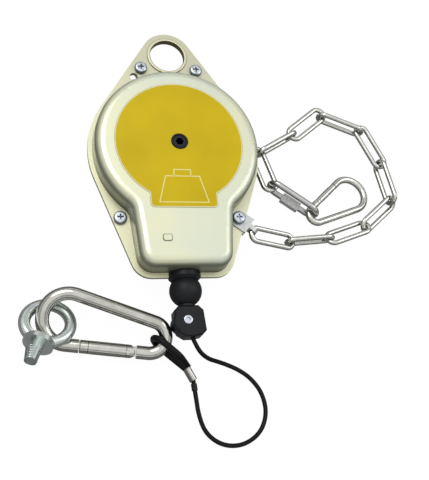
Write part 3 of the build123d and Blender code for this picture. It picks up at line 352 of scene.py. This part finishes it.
def housingZinc():
    look = housingLook
    m = Finish("housingZinc", {"Metallic": look["metallic"]})
    cloud = m.noise(scale=16.0, detail=3.0, rough=0.6)
    grain = m.noise(scale=900.0, detail=2.0, rough=0.6)
    tint = m.blend(m.step(cloud, *look["clouded"]), look["warm"], look["cool"])
    tint = m.blend(look["plateShare"], tint, look["plate"])
    height = abs(m.z - seam * mm)  # above or below the seam

    part = look["flange"]
    flange = m.step(height, *metres(*part["height"]))
    tint = m.blend(flange * part["share"], tint, part["tint"])

    part = look["boss"]  # the flange darker towards the hanging eye
    boss = flange * m.step(m.y, *metres(*part["y"]))
    tint = m.blend(boss * part["share"], tint, part["tint"])

    part = look["wall"]  # painted shade: walls facing sideways take a darker olive tint
    paintedShadeTint = part["tint"]
    wall = m.step(abs(m.nz), *part["facing"]) * (height > part["above"] * mm)
    tint = m.blend(wall * part["share"], tint, paintedShadeTint)

    part = look["foot"]  # painted shade, darkest where a wall meets the flange
    tint = m.blend(wall * m.step(height, *metres(*part["height"])), tint, part["tint"])

    part = look["cut"]  # painted shade on the sheared edge of the sheet, where it faces sideways
    cut = m.step(abs(m.nz), *part["facing"]) * (height < part["below"] * mm)
    tint = m.blend(cut * part["share"], tint, paintedShadeTint)

    part = look["emboss"]  # painted shade as a thin dark line round the small emboss on the face of the neck
    edge = abs(m.boxEdge(*metres(*(part[key] for key in ("x", "y", "wide", "high", "radius")))))
    line = m.step(edge, *metres(*part["line"])) * (m.z > part["level"] * mm)
    m.set("Base Color", m.blend(line * part["share"], tint, paintedShadeTint))
    m.setRoughness(cloud * 0.7 + grain * 0.3, *look["rough"])
    return m.material


screwLook = {
    "metallic": 0.85,
    "places": ((-20.3, 66.5), (20.3, 66.5), (-41.1, -49.9), (41.1, -49.9)),
    "head": linear(214, 222, 232),
    "cloud": linear(120, 128, 142),
    "dark": linear(38, 44, 52),
    "clouded": (0.45, 0.65),
    "cloudShare": 0.6,
    "recess": {"radius": (2.25, 2.05), "facing": (1.0, 0.97), "share": 0.85},
    "core": {"radius": (2.1, 1.9), "level": (23.0, 22.6)},
    "rim": {"radius": (4.1, 4.55), "share": 0.8},
    "rough": (0.18, 0.32),
}


def coverScrewZinc():
    # painted shade in the recess and on the head's rim, the crown bright
    look = screwLook
    m = Finish("coverScrewZinc", {"Metallic": look["metallic"]})
    nearest = None
    for place in look["places"]:
        r = m.away(*metres(*place))
        nearest = r if nearest is None else nearest.low(r)
    grain = m.noise(scale=1200.0, detail=2.0, rough=0.5)
    cloud = m.noise(scale=420.0, detail=3.0, rough=0.6)
    clouded = m.step(cloud, *look["clouded"]) * look["cloudShare"]
    tint = m.blend(clouded, look["head"], look["cloud"])
    recess, core, rim = look["recess"], look["core"], look["rim"]
    recessShade = m.step(nearest, *metres(*recess["radius"])) * m.step(m.nz, *recess["facing"])
    deep = m.step(nearest, *metres(*core["radius"])) * m.step(m.z, *metres(*core["level"]))
    tint = m.blend(recessShade.top(deep) * recess["share"], tint, look["dark"])
    outer = m.step(nearest, *metres(*rim["radius"]))
    m.set("Base Color", m.blend(outer * rim["share"], tint, look["dark"]))
    m.setRoughness(grain, *look["rough"])
    m.bump(grain, distance=0.00002, strength=0.4)
    return m.material


nutLook = {
    "metallic": 0.75,
    "spacing": 0.42,
    "lineShare": 0.1,
    "contrast": (0.4, 0.7),
    "light": (0.66, 0.66, 0.65),
    "dark": (0.48, 0.48, 0.47),
    "rough": (0.42, 0.56),
}


def quickNutZinc():
    # fine rolled lines across the sleeve of the quick link
    look = nutLook
    m = Finish("quickNutZinc", {"Metallic": look["metallic"]})
    t = m.along(longAxis(cloudOf("quick_link_nut"))[1])
    lines = (t * (2 * math.pi / (look["spacing"] * mm))).sin()
    grain = m.noise(scale=900.0, detail=3.0, rough=0.6)
    pattern = m.step(grain + lines * look["lineShare"], *look["contrast"])
    m.set("Base Color", m.blend(pattern, look["light"], look["dark"]))
    m.setRoughness(grain, *look["rough"])
    m.bump(lines * 0.5 + grain, distance=0.00004, strength=0.7)
    return m.material


metals = {
    "screwZinc": {
        "light": (0.66, 0.69, 0.74), "dark": (0.25, 0.27, 0.31), "rough": (0.19, 0.33),
        "on": ("cover_nuts", "clamp_screw", "drum_cover_screws", "pawl_rivets"),
    },
    "chainZinc": {
        "light": (0.74, 0.74, 0.70), "dark": (0.28, 0.28, 0.25), "rough": (0.13, 0.27),
        "on": (
            *(name for name in nodes if name.startswith("chain_link_")),
            "snap_hook_body", "snap_hook_gate", "snap_hook_pin",
        ),
    },
    "linkZinc": {
        "light": (0.60, 0.60, 0.59), "dark": (0.36, 0.36, 0.36), "rough": (0.19, 0.33),
        "on": ("quick_link_body",),
    },
    "carabinerZinc": {
        "light": (0.60, 0.60, 0.55), "dark": (0.20, 0.19, 0.15), "rough": (0.09, 0.23),
        "on": ("carabiner_body", "carabiner_pin"),
    },
    "turnedSteel": {
        "light": (0.035, 0.036, 0.05), "dark": (0.02, 0.02, 0.03), "rough": (0.33, 0.47),
        "on": ("spring_arbor", "arbor_circlip", "ratchet_wheel"),
    },
    "springSteel": {
        "light": (0.20, 0.22, 0.28), "dark": (0.12, 0.12, 0.16), "rough": (0.25, 0.39),
        "on": ("main_spring", "ratchet_pawl"),
    },
    "strapZinc": {
        "light": (0.62, 0.63, 0.63), "dark": (0.24, 0.24, 0.24), "rough": (0.35, 0.49),
        "metallic": 0.7, "on": ("chain_bracket",),
    },
    "ferruleZinc": {
        "light": (0.60, 0.59, 0.54), "dark": (0.16, 0.15, 0.12), "rough": (0.17, 0.31),
        "on": ("rope_ferrule",),
    },
    "nippleAlloy": {
        "light": (0.75, 0.75, 0.76), "dark": (0.5, 0.5, 0.5), "rough": (0.33, 0.47),
        "on": ("rope_nipple",),
    },
}


metalLook = {"worn": (0.42, 0.72), "wornShare": 0.35, "sideShade": (0.8, 0.1), "sideShadeShare": 0.7}


def metalFinish(name, look, marks=None):
    # darker in worn clouds, painted shade where the surface doesn't look up, and darker where marks
    # gives a line
    m = Finish(name, {"Metallic": look.get("metallic", 1.0)})
    cloud = m.noise(scale=120.0, detail=4.0, rough=0.6)
    grain = m.noise(scale=1400.0, detail=2.0, rough=0.5)
    worn = m.step(cloud, *metalLook["worn"]) * metalLook["wornShare"]
    sideShade = m.step(m.nz, *metalLook["sideShade"]) * metalLook["sideShadeShare"]
    tint = m.blend(sideShade.top(worn), look["light"], look["dark"])
    if marks:
        tint = m.blend(marks(m) * look["share"], tint, look["line"])
    m.set("Base Color", tint)
    m.setRoughness(cloud * 0.6 + grain * 0.4, *look["rough"])
    m.bump(grain, distance=0.00002, strength=0.4)
    return m.material


gateLook = {
    **metals["carabinerZinc"],
    "tip": (0.6, 0.5),
    "band": (5.2, 5.7),
    "line": (0.10, 0.10, 0.08),
    "share": 0.9,
}


def gateMarks(m):
    # the gate's ends and the line of its swaged bush
    points = cloudOf("carabiner_gate")
    middle, axis = longAxis(points)
    reach = (points - middle) @ axis
    t = m.along(axis) - float(np.dot(middle, axis))
    fromEnd = (t - float(reach.min())).low(float(reach.max()) - t)
    start, end = metres(*gateLook["band"])
    band = (fromEnd > start) * (fromEnd < end)
    return band.top(m.step(fromEnd, *metres(*gateLook["tip"])))


plastics = {
    "nozzlePolymer": {
        "colour": (0.006, 0.007, 0.008), "rough": (0.34, 0.50), "shine": 0.24,
        "on": ("rope_nozzle", "rope_sleeve"),
    },
    "bufferRubber": {
        "colour": (0.007, 0.008, 0.009), "rough": (0.40, 0.56), "shine": 0.24, "grain": 900.0,
        "on": ("buffer_ball",),
    },
    "clampPolymer": {
        "colour": (0.004, 0.0045, 0.006), "rough": (0.22, 0.38),
        "on": ("clamp_front", "clamp_rear"),
    },
    "drumPolymer": {
        "colour": (0.06, 0.06, 0.065), "rough": (0.37, 0.53),
        "on": ("rope_drum", "drum_cover"),
    },
    "bearingPolymer": {
        "colour": (0.62, 0.60, 0.54), "rough": (0.37, 0.53),
        "on": ("rear_bush", "drum_bush", "thrust_washer"),
    },
    "ropeSleeve": {
        "colour": (0.004, 0.004, 0.0045), "rough": (0.34, 0.50), "shine": 0.16, "grain": 2200.0,
        "on": ("rope_loop", "rope_run", "stop_rope", "rope_wound", "rope_eye"),
    },
    "adjusterPolymer": {
        "colour": (0.004, 0.004, 0.005), "rough": (0.42, 0.58),
        "on": ("adjuster_bush",),
    },
}


mouldedLook = {
    "grain": 1500.0,
    "shine": 0.28,
    "clouded": (0.35, 0.75),
    "cloudShare": 0.6,
    "gain": 1.5,
    "lift": 0.004,
}


def moulded(name, look):
    m = Finish(name, {"Specular IOR Level": look.get("shine", mouldedLook["shine"])})
    grain = m.noise(scale=look.get("grain", mouldedLook["grain"]), detail=2.0, rough=0.5)
    cloud = m.noise(scale=60.0, detail=3.0, rough=0.5)
    lighter = tuple(min(1.0, c * mouldedLook["gain"] + mouldedLook["lift"]) for c in look["colour"])
    clouded = m.step(cloud, *mouldedLook["clouded"]) * mouldedLook["cloudShare"]
    m.set("Base Color", m.blend(clouded, look["colour"], lighter))
    m.setRoughness(grain, *look["rough"])
    m.bump(grain, distance=0.00003, strength=0.5)
    return m.material


dress(housingZinc(), "front_cover", "rear_cover")
dress(coverScrewZinc(), "cover_screws")
dress(quickNutZinc(), "quick_link_nut")
dress(metalFinish("gateZinc", gateLook, gateMarks), "carabiner_gate")
for name, look in metals.items():
    dress(metalFinish(name, look), *look["on"])
mouldings = {name: moulded(name, look) for name, look in plastics.items()}
for name, look in plastics.items():
    dress(mouldings[name], *look["on"])
print("housing, screws, metals and plastics finished")


rope = {
    "radius": 1.5,
    "route": (
        (2.4, -132.8, 18.5), (5.3, -141.1, 18.5), (12.6, -145.6, 13.2), (20.6, -146.6, 7.4),
        (28.4, -148.4, 3.2), (36.4, -151.8, 1.55), (44.4, -158.0, 1.55), (51.0, -168.2, 1.55),
        (52.6, -181.6, 1.55), (46.8, -194.0, 1.55), (34.2, -201.2, 1.55), (20.4, -200.4, 1.55),
        (9.8, -192.2, 1.55), (6.0, -180.0, 1.6), (5.2, -168.6, 1.9), (4.0, -156.8, 2.6),
    ),
    "length": 0.171,
    # what hangs at the far end
    "hangs": (
        "rope_sleeve", "rope_ferrule", "rope_eye", "carabiner_body",
        "carabiner_gate", "carabiner_pin", "eye_bolt",
    ),
}


def makeFreeRope():
    # the loop from the clamp to the eye, as one smooth curve
    curve = bpy.data.curves.new("freeRope", "CURVE")
    curve.dimensions = "3D"
    spline = curve.splines.new("NURBS")
    spline.points.add(len(rope["route"]) - 1)
    for point, place in zip(spline.points, rope["route"]):
        point.co = (*metres(*place), 1.0)
    spline.order_u = 3
    spline.use_endpoint_u = True
    spline.resolution_u = 10
    curve.bevel_depth = rope["radius"] * mm
    curve.bevel_resolution = 4
    curve.use_fill_caps = True
    curve.materials.append(mouldings["ropeSleeve"])
    made = bpy.data.objects.new("freeRope", curve)
    bpy.context.scene.collection.objects.link(made)
    return made


freeRope = makeFreeRope()
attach(freeRope, "rope_end")
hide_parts("rope_loop")
metres(*rope["route"][0])
print("rope laid")


def meshPiece(name, shape, material, body=None, smooth=True):
    # a piece in millimetres that rides a body when one is given
    verts, faces = shape
    mesh = bpy.data.meshes.new(name)
    mesh.from_pydata([Vector(v) * mm for v in verts], [], faces)
    mesh.materials.append(material)
    made = bpy.data.objects.new(name, mesh)
    bpy.context.scene.collection.objects.link(made)
    welded = bmesh.new()
    welded.from_mesh(mesh)
    bmesh.ops.remove_doubles(welded, verts=welded.verts, dist=1e-7)
    bmesh.ops.recalc_face_normals(welded, faces=welded.faces)
    welded.to_mesh(mesh)
    welded.free()
    if smooth:
        mesh.polygons.foreach_set("use_smooth", [True] * len(mesh.polygons))
        mesh.set_sharp_from_angle(angle=math.radians(50))
    if body:
        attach(made, body)
    return made


def tube(points, radius, sides):
    # closed ends, section carried along without twist
    verts, faces = [], []
    last = len(points) - 1
    along = [(points[min(i + 1, last)] - points[max(i - 1, 0)]).normalized() for i in range(last + 1)]
    normal = along[0].orthogonal().normalized()
    for point, forward in zip(points, along):
        normal = (normal - forward * normal.dot(forward)).normalized()
        side = forward.cross(normal)
        for k in range(sides):
            a = 2 * math.pi * k / sides
            verts.append(point + (normal * math.cos(a) + side * math.sin(a)) * radius)
    for i in range(last):
        for k in range(sides):
            n = (k + 1) % sides
            faces.append((i * sides + k, i * sides + n, (i + 1) * sides + n, (i + 1) * sides + k))
    faces.append(tuple(range(sides))[::-1])
    faces.append(tuple(last * sides + k for k in range(sides)))
    return verts, faces


def joined(parts):
    verts, faces = [], []
    for partVerts, partFaces in parts:
        base = len(verts)
        verts += partVerts
        faces += [tuple(base + i for i in face) for face in partFaces]
    return verts, faces


boltLook = {
    "reach": 14.0,  # of the stud, from its tip
    "radius": 4.0,
    "threaded": 12.0,
    "pitch": 1.25,
    "light": (0.76, 0.82, 0.79),
    "dark": (0.44, 0.50, 0.49),
    "worn": {"cloud": (0.42, 0.72), "share": 0.5},
    "sideShade": {"facing": (0.5, -0.2), "share": 0.5},
    "root": {"radius": (4.03, 4.0), "share": 0.8},
    "rough": (0.22, 0.36),
    "ridge": {"radius": 0.34, "sunk": 0.7, "start": 0.8, "plain": 1.2, "turnSteps": 28, "sides": 8},
}


def studAxis(name, reach):
    # tip and direction of a stud, from the points within reach of its far end
    points = cloudOf(name)
    far = points[np.argmax(np.linalg.norm(points - points.mean(axis=0), axis=1))]
    near = points[np.linalg.norm(points - far, axis=1) < reach]
    middle, axis = longAxis(near)
    if np.dot(axis, points.mean(axis=0) - middle) < 0:
        axis = -axis
    tip = middle + axis * np.dot(near - middle, axis).min()
    return tip, axis


def eyeBoltZinc(tip, axis):
    # painted shade between the ridges of the stud's thread and on faces turned down, with worn clouds
    look = boltLook
    m = Finish("eyeBoltZinc", {"Metallic": 1.0})
    t = m.along(axis) - float(np.dot(tip, axis))
    cloud = m.noise(scale=260.0, detail=4.0, rough=0.6)
    grain = m.noise(scale=1400.0, detail=2.0, rough=0.5)
    worn = m.step(cloud, *look["worn"]["cloud"]) * look["worn"]["share"]
    sideShade = m.step(m.nz, *look["sideShade"]["facing"]) * look["sideShade"]["share"]
    root = m.step(m.awayFrom(tip, axis), *metres(*look["root"]["radius"])) * look["root"]["share"]
    shadeAndWear = worn.top(root * (t < look["threaded"] * mm)).top(sideShade)
    m.set("Base Color", m.blend(shadeAndWear, look["light"], look["dark"]))
    m.setRoughness(cloud * 0.6 + grain * 0.4, *look["rough"])
    m.bump(grain, distance=0.00002, strength=0.4)
    return m.material


def makeThread(tip, axis, material):
    # one ridge wound round the stud, more than half sunk in it
    look, ridge = boltLook, boltLook["ridge"]
    tip, axis = Vector(tip) / mm, Vector(axis)
    side = axis.orthogonal().normalized()
    other = axis.cross(side)
    turns = (look["threaded"] - ridge["plain"]) / look["pitch"]
    radius = look["radius"] - ridge["sunk"] * ridge["radius"]
    points = []
    for i in range(int(turns * ridge["turnSteps"]) + 1):
        turn = i / ridge["turnSteps"]
        a = 2 * math.pi * turn
        rise = ridge["start"] + look["pitch"] * turn
        points.append(tip + axis * rise + (side * math.cos(a) + other * math.sin(a)) * radius)
    shape = tube(points, ridge["radius"], ridge["sides"])
    meshPiece("studThread", shape, material, "eye_bolt")


studTip, studForward = studAxis("eye_bolt", boltLook["reach"] * mm)
zincBolt = eyeBoltZinc(studTip, studForward)
dress(zincBolt, "eye_bolt")
makeThread(studTip, studForward, zincBolt)
print("eye bolt threaded")


eyelet = {
    "place": (0.0, 78.0), "bore": 12.6, "wall": 1.0, "lip": 14.75, "lipRise": 0.1,
    # half its height, the height at which the lip lies on the flange, and its roundings
    "half": 2.35, "seat": 1.54, "round": 0.4, "shoulder": 0.64, "sides": 96,
    "metallic": 0.6,
    "crest": linear(226, 222, 190),
    "inside": linear(120, 118, 84),
    "edge": linear(96, 92, 62),
    "rimShadeShare": 0.85,
    "facing": (0.75, 0.3),
    "outerEdge": (14.3, 14.6),
    "innerEdge": (13.1, 12.85),
    "rough": (0.24, 0.38),
}


def eyeletZinc():
    m = Finish("eyeletZinc", {"Metallic": eyelet["metallic"]})
    r = m.away(*metres(*eyelet["place"]))
    grain = m.noise(scale=700.0, detail=2.0, rough=0.5)
    # painted shade on the sideways faces and along the outer and inner rims
    side = m.step(abs(m.nz), *eyelet["facing"])
    tint = m.blend(side, eyelet["crest"], eyelet["inside"])
    edge = m.step(r, *metres(*eyelet["outerEdge"])).top(m.step(r, *metres(*eyelet["innerEdge"])))
    m.set("Base Color", m.blend(edge * eyelet["rimShadeShare"], tint, eyelet["edge"]))
    m.setRoughness(grain, *eyelet["rough"])
    return m.material


def quarterTurn(r, z, radius, start, steps=4):
    # clockwise from the start angle, both ends with it
    angles = [start - math.pi / 2 * i / steps for i in range(steps + 1)]
    return [(r + radius * math.cos(a), z + radius * math.sin(a)) for a in angles]


def makeEyelet(material):
    # a low turned-over collar on both flanges, spun from its half section
    e = eyelet
    crown, wall = e["half"] - e["round"], e["bore"] + e["wall"]
    section = [(e["bore"], 0.0), (e["bore"], e["half"] - e["shoulder"])]
    section += quarterTurn(e["bore"] + e["round"], crown, e["round"], math.pi)[1:]
    section += quarterTurn(e["lip"] - e["round"], crown, e["round"], math.pi / 2)
    section += [(e["lip"], e["seat"] + e["lipRise"]), (e["lip"] - e["lipRise"], e["seat"])]
    section += [(wall, e["seat"]), (wall, 0.0)]
    loop = section + [(r, -z) for r, z in section[-2:0:-1]]
    count = len(loop)
    x, y = e["place"]
    verts, faces = [], []
    for k in range(e["sides"]):
        a = 2 * math.pi * k / e["sides"]
        verts += [(x + r * math.cos(a), y + r * math.sin(a), seam + z) for r, z in loop]
        n = (k + 1) % e["sides"]
        for i in range(count):
            j = (i + 1) % count
            faces.append((k * count + i, n * count + i, n * count + j, k * count + j))
    piece = meshPiece("eyeletCollar", (verts, faces), material, "housing")
    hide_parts("eye_bush")


zincEyelet = eyeletZinc()
dress(zincEyelet, "eye_bush")
makeEyelet(zincEyelet)
print("eyelet turned over")


foil = {
    "radius": 44.6,
    "steps": 220,
    "cornerSteps": 8,
    "tabHalf": 23.0,
    "tabY": -48.6,
    "corner": 3.0,
    "hole": 6.0,
    "top": 37.3,
    "thickness": 0.3,
    "ink": linear(214, 187, 6),
    "deep": linear(202, 175, 2),
    "rim": linear(236, 230, 184),
    "cut": linear(150, 146, 104),
    "printedFrom": (0.70, 0.80),  # from the edge of the foil
    "cutTo": (0.22, 0.11),
    "rough": (0.36, 0.46),
}


def foilFinish():
    # yellow ink inside a pale rim, with a painted shadow along the foil's edge
    m = Finish("labelFoil", {"Specular IOR Level": 0.25})
    insideCircle = foil["radius"] * mm - m.away(0.0, 0.0)
    tabHalf, tabY, corner = metres(foil["tabHalf"], foil["tabY"], foil["corner"])
    sideways = (abs(m.x) - (tabHalf - corner)).top(0.0)
    downwards = (tabY + corner - m.y).top(0.0)
    insideTab = corner - (sideways * sideways + downwards * downwards).root()
    inside = insideCircle.top(insideTab.low(-m.y))
    cloud = m.noise(scale=30.0, detail=2.0, rough=0.5)
    yellow = m.blend(m.step(cloud, *noiseSpan), foil["ink"], foil["deep"])
    rim = m.blend(m.step(inside, *metres(*foil["cutTo"])), foil["rim"], foil["cut"])
    m.set("Base Color", m.blend(m.step(inside, *metres(*foil["printedFrom"])), rim, yellow))
    peel = m.noise(scale=700.0, detail=2.0, rough=0.5)
    m.setRoughness(peel, *foil["rough"])
    m.bump(peel, distance=0.00001, strength=0.3)
    return m.material


def foilOutline():
    # the circle from one side of the tab to the other, then the tab's two corners
    radius, half, corner = foil["radius"], foil["tabHalf"], foil["corner"]
    meet = math.asin(half / radius)
    points = []
    for i in range(foil["steps"] + 1):
        a = -math.pi / 2 + meet + (2 * math.pi - 2 * meet) * i / foil["steps"]
        points.append((radius * math.cos(a), radius * math.sin(a)))
    for side in (-1, 1):
        for i in range(foil["cornerSteps"] + 1):
            a = math.pi / 2 * i / foil["cornerSteps"]
            x = half - corner + corner * (math.cos(a) if side < 0 else math.sin(a))
            y = foil["tabY"] + corner - corner * (math.sin(a) if side < 0 else math.cos(a))
            points.append((side * x, y))
    return points


def makeFoil(material):
    outer = foilOutline()
    count = len(outer)
    hole = [(x / math.hypot(x, y) * foil["hole"], y / math.hypot(x, y) * foil["hole"]) for x, y in outer]
    levels = (foil["top"] - foil["thickness"], foil["top"])
    verts = [(x, y, z) for ring in (outer, hole) for z in levels for x, y in ring]
    faces = []
    for i in range(count):
        j = (i + 1) % count
        here, following = ([at, count + at, 3 * count + at, 2 * count + at] for at in (i, j))
        for k in range(4):
            n = (k + 1) % 4
            faces.append((here[k], following[k], following[n], here[n]))
    piece = meshPiece("labelFace", (verts, faces), material, "housing", smooth=False)
    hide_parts("label_plate")


weightPrint = {
    "low": -44.9, "high": -26.0, "lowHalf": 16.8, "highHalf": 11.7,
    "handleHalf": 5.8, "handleTop": -21.2, "line": 0.7, "lift": 0.02,
    "pale": linear(240, 230, 150),
    "worn": (0.55, 0.8),
    "wornShare": 0.4,
    "rough": (0.42, 0.52),
}


def paleInk():
    # the foil's yellow shows where the ink is worn
    m = Finish("paleInk", {"Specular IOR Level": 0.3})
    wear = m.noise(scale=500.0, detail=3.0, rough=0.6)
    worn = m.step(wear, *weightPrint["worn"]) * weightPrint["wornShare"]
    m.set("Base Color", m.blend(worn, weightPrint["pale"], foil["ink"]))
    m.setRoughness(wear, *weightPrint["rough"])
    return m.material


def ribbon(outline, width, low, high, closed):
    # flat printed line along a path in the plane of the label
    points = [Vector((x, y, 0)) for x, y in outline]
    count = len(points)
    steps = [(points[(i + 1) % count] - points[i]).normalized() for i in range(count)]
    left, right = [], []
    for i, point in enumerate(points):
        before = steps[i - 1] if closed or i > 0 else steps[i]
        after = steps[i] if closed or i < count - 1 else steps[i - 1]
        square = Vector((-before.y, before.x, 0))
        bisect = (square + Vector((-after.y, after.x, 0))).normalized()
        reach = bisect * (width / 2 / bisect.dot(square))
        left.append(point + reach)
        right.append(point - reach)
    verts = [(p.x, p.y, level) for row in (left, right) for level in (low, high) for p in row]
    faces = []
    for i in range(count if closed else count - 1):
        j = (i + 1) % count
        faces.append((count + i, count + j, 3 * count + j, 3 * count + i))
        faces.append((i, 2 * count + i, 2 * count + j, j))
        faces.append((i, j, count + j, count + i))
        faces.append((2 * count + i, 3 * count + i, 3 * count + j, 2 * count + j))
    if not closed:
        faces += [(i, count + i, 3 * count + i, 2 * count + i) for i in (0, count - 1)]
    return verts, faces


def makeWeightPrint(material):
    w = weightPrint
    low, high = foil["top"], foil["top"] + w["lift"]
    bottom = [(-w["lowHalf"], w["low"]), (w["lowHalf"], w["low"])]
    shoulders = [(w["highHalf"], w["high"]), (-w["highHalf"], w["high"])]
    body = ribbon(bottom + shoulders, w["line"], low, high, closed=True)
    upLeft = [(-w["handleHalf"], w["high"]), (-w["handleHalf"], w["handleTop"])]
    downRight = [(w["handleHalf"], w["handleTop"]), (w["handleHalf"], w["high"])]
    handle = ribbon(upLeft + downRight, w["line"], low, high, closed=False)
    meshPiece("weightOutline", joined([body, handle]), material, "housing", smooth=False)


foilPrint = foilFinish()
dress(foilPrint, "label_plate")
makeFoil(foilPrint)
makeWeightPrint(paleInk())
print("label printed")


payOut = {
    "radius": 1.42, "sides": 12,
    "top": -84.0, "upper": -87.0, "from": -89.6, "to": -90.3, "lower": -93.0, "bottom": -99.0,
    "margin": 0.05,  # sets the two middle rings just outside the from and to levels
}


def makePaidRope():
    # between the nozzle and the ball
    upper, lower = payOut["from"] + payOut["margin"], payOut["to"] - payOut["margin"]
    levels = (payOut["top"], payOut["upper"], upper, lower, payOut["lower"], payOut["bottom"])
    shape = tube([Vector((0, y, seam)) for y in levels], payOut["radius"], payOut["sides"])
    return meshPiece("paidRope", shape, mouldings["ropeSleeve"])


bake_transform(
    makePaidRope(), "housing", "rope_end",
    start=metres(0, payOut["from"], seam), end=metres(0, payOut["to"], seam),
)
print("paid-out rope made")
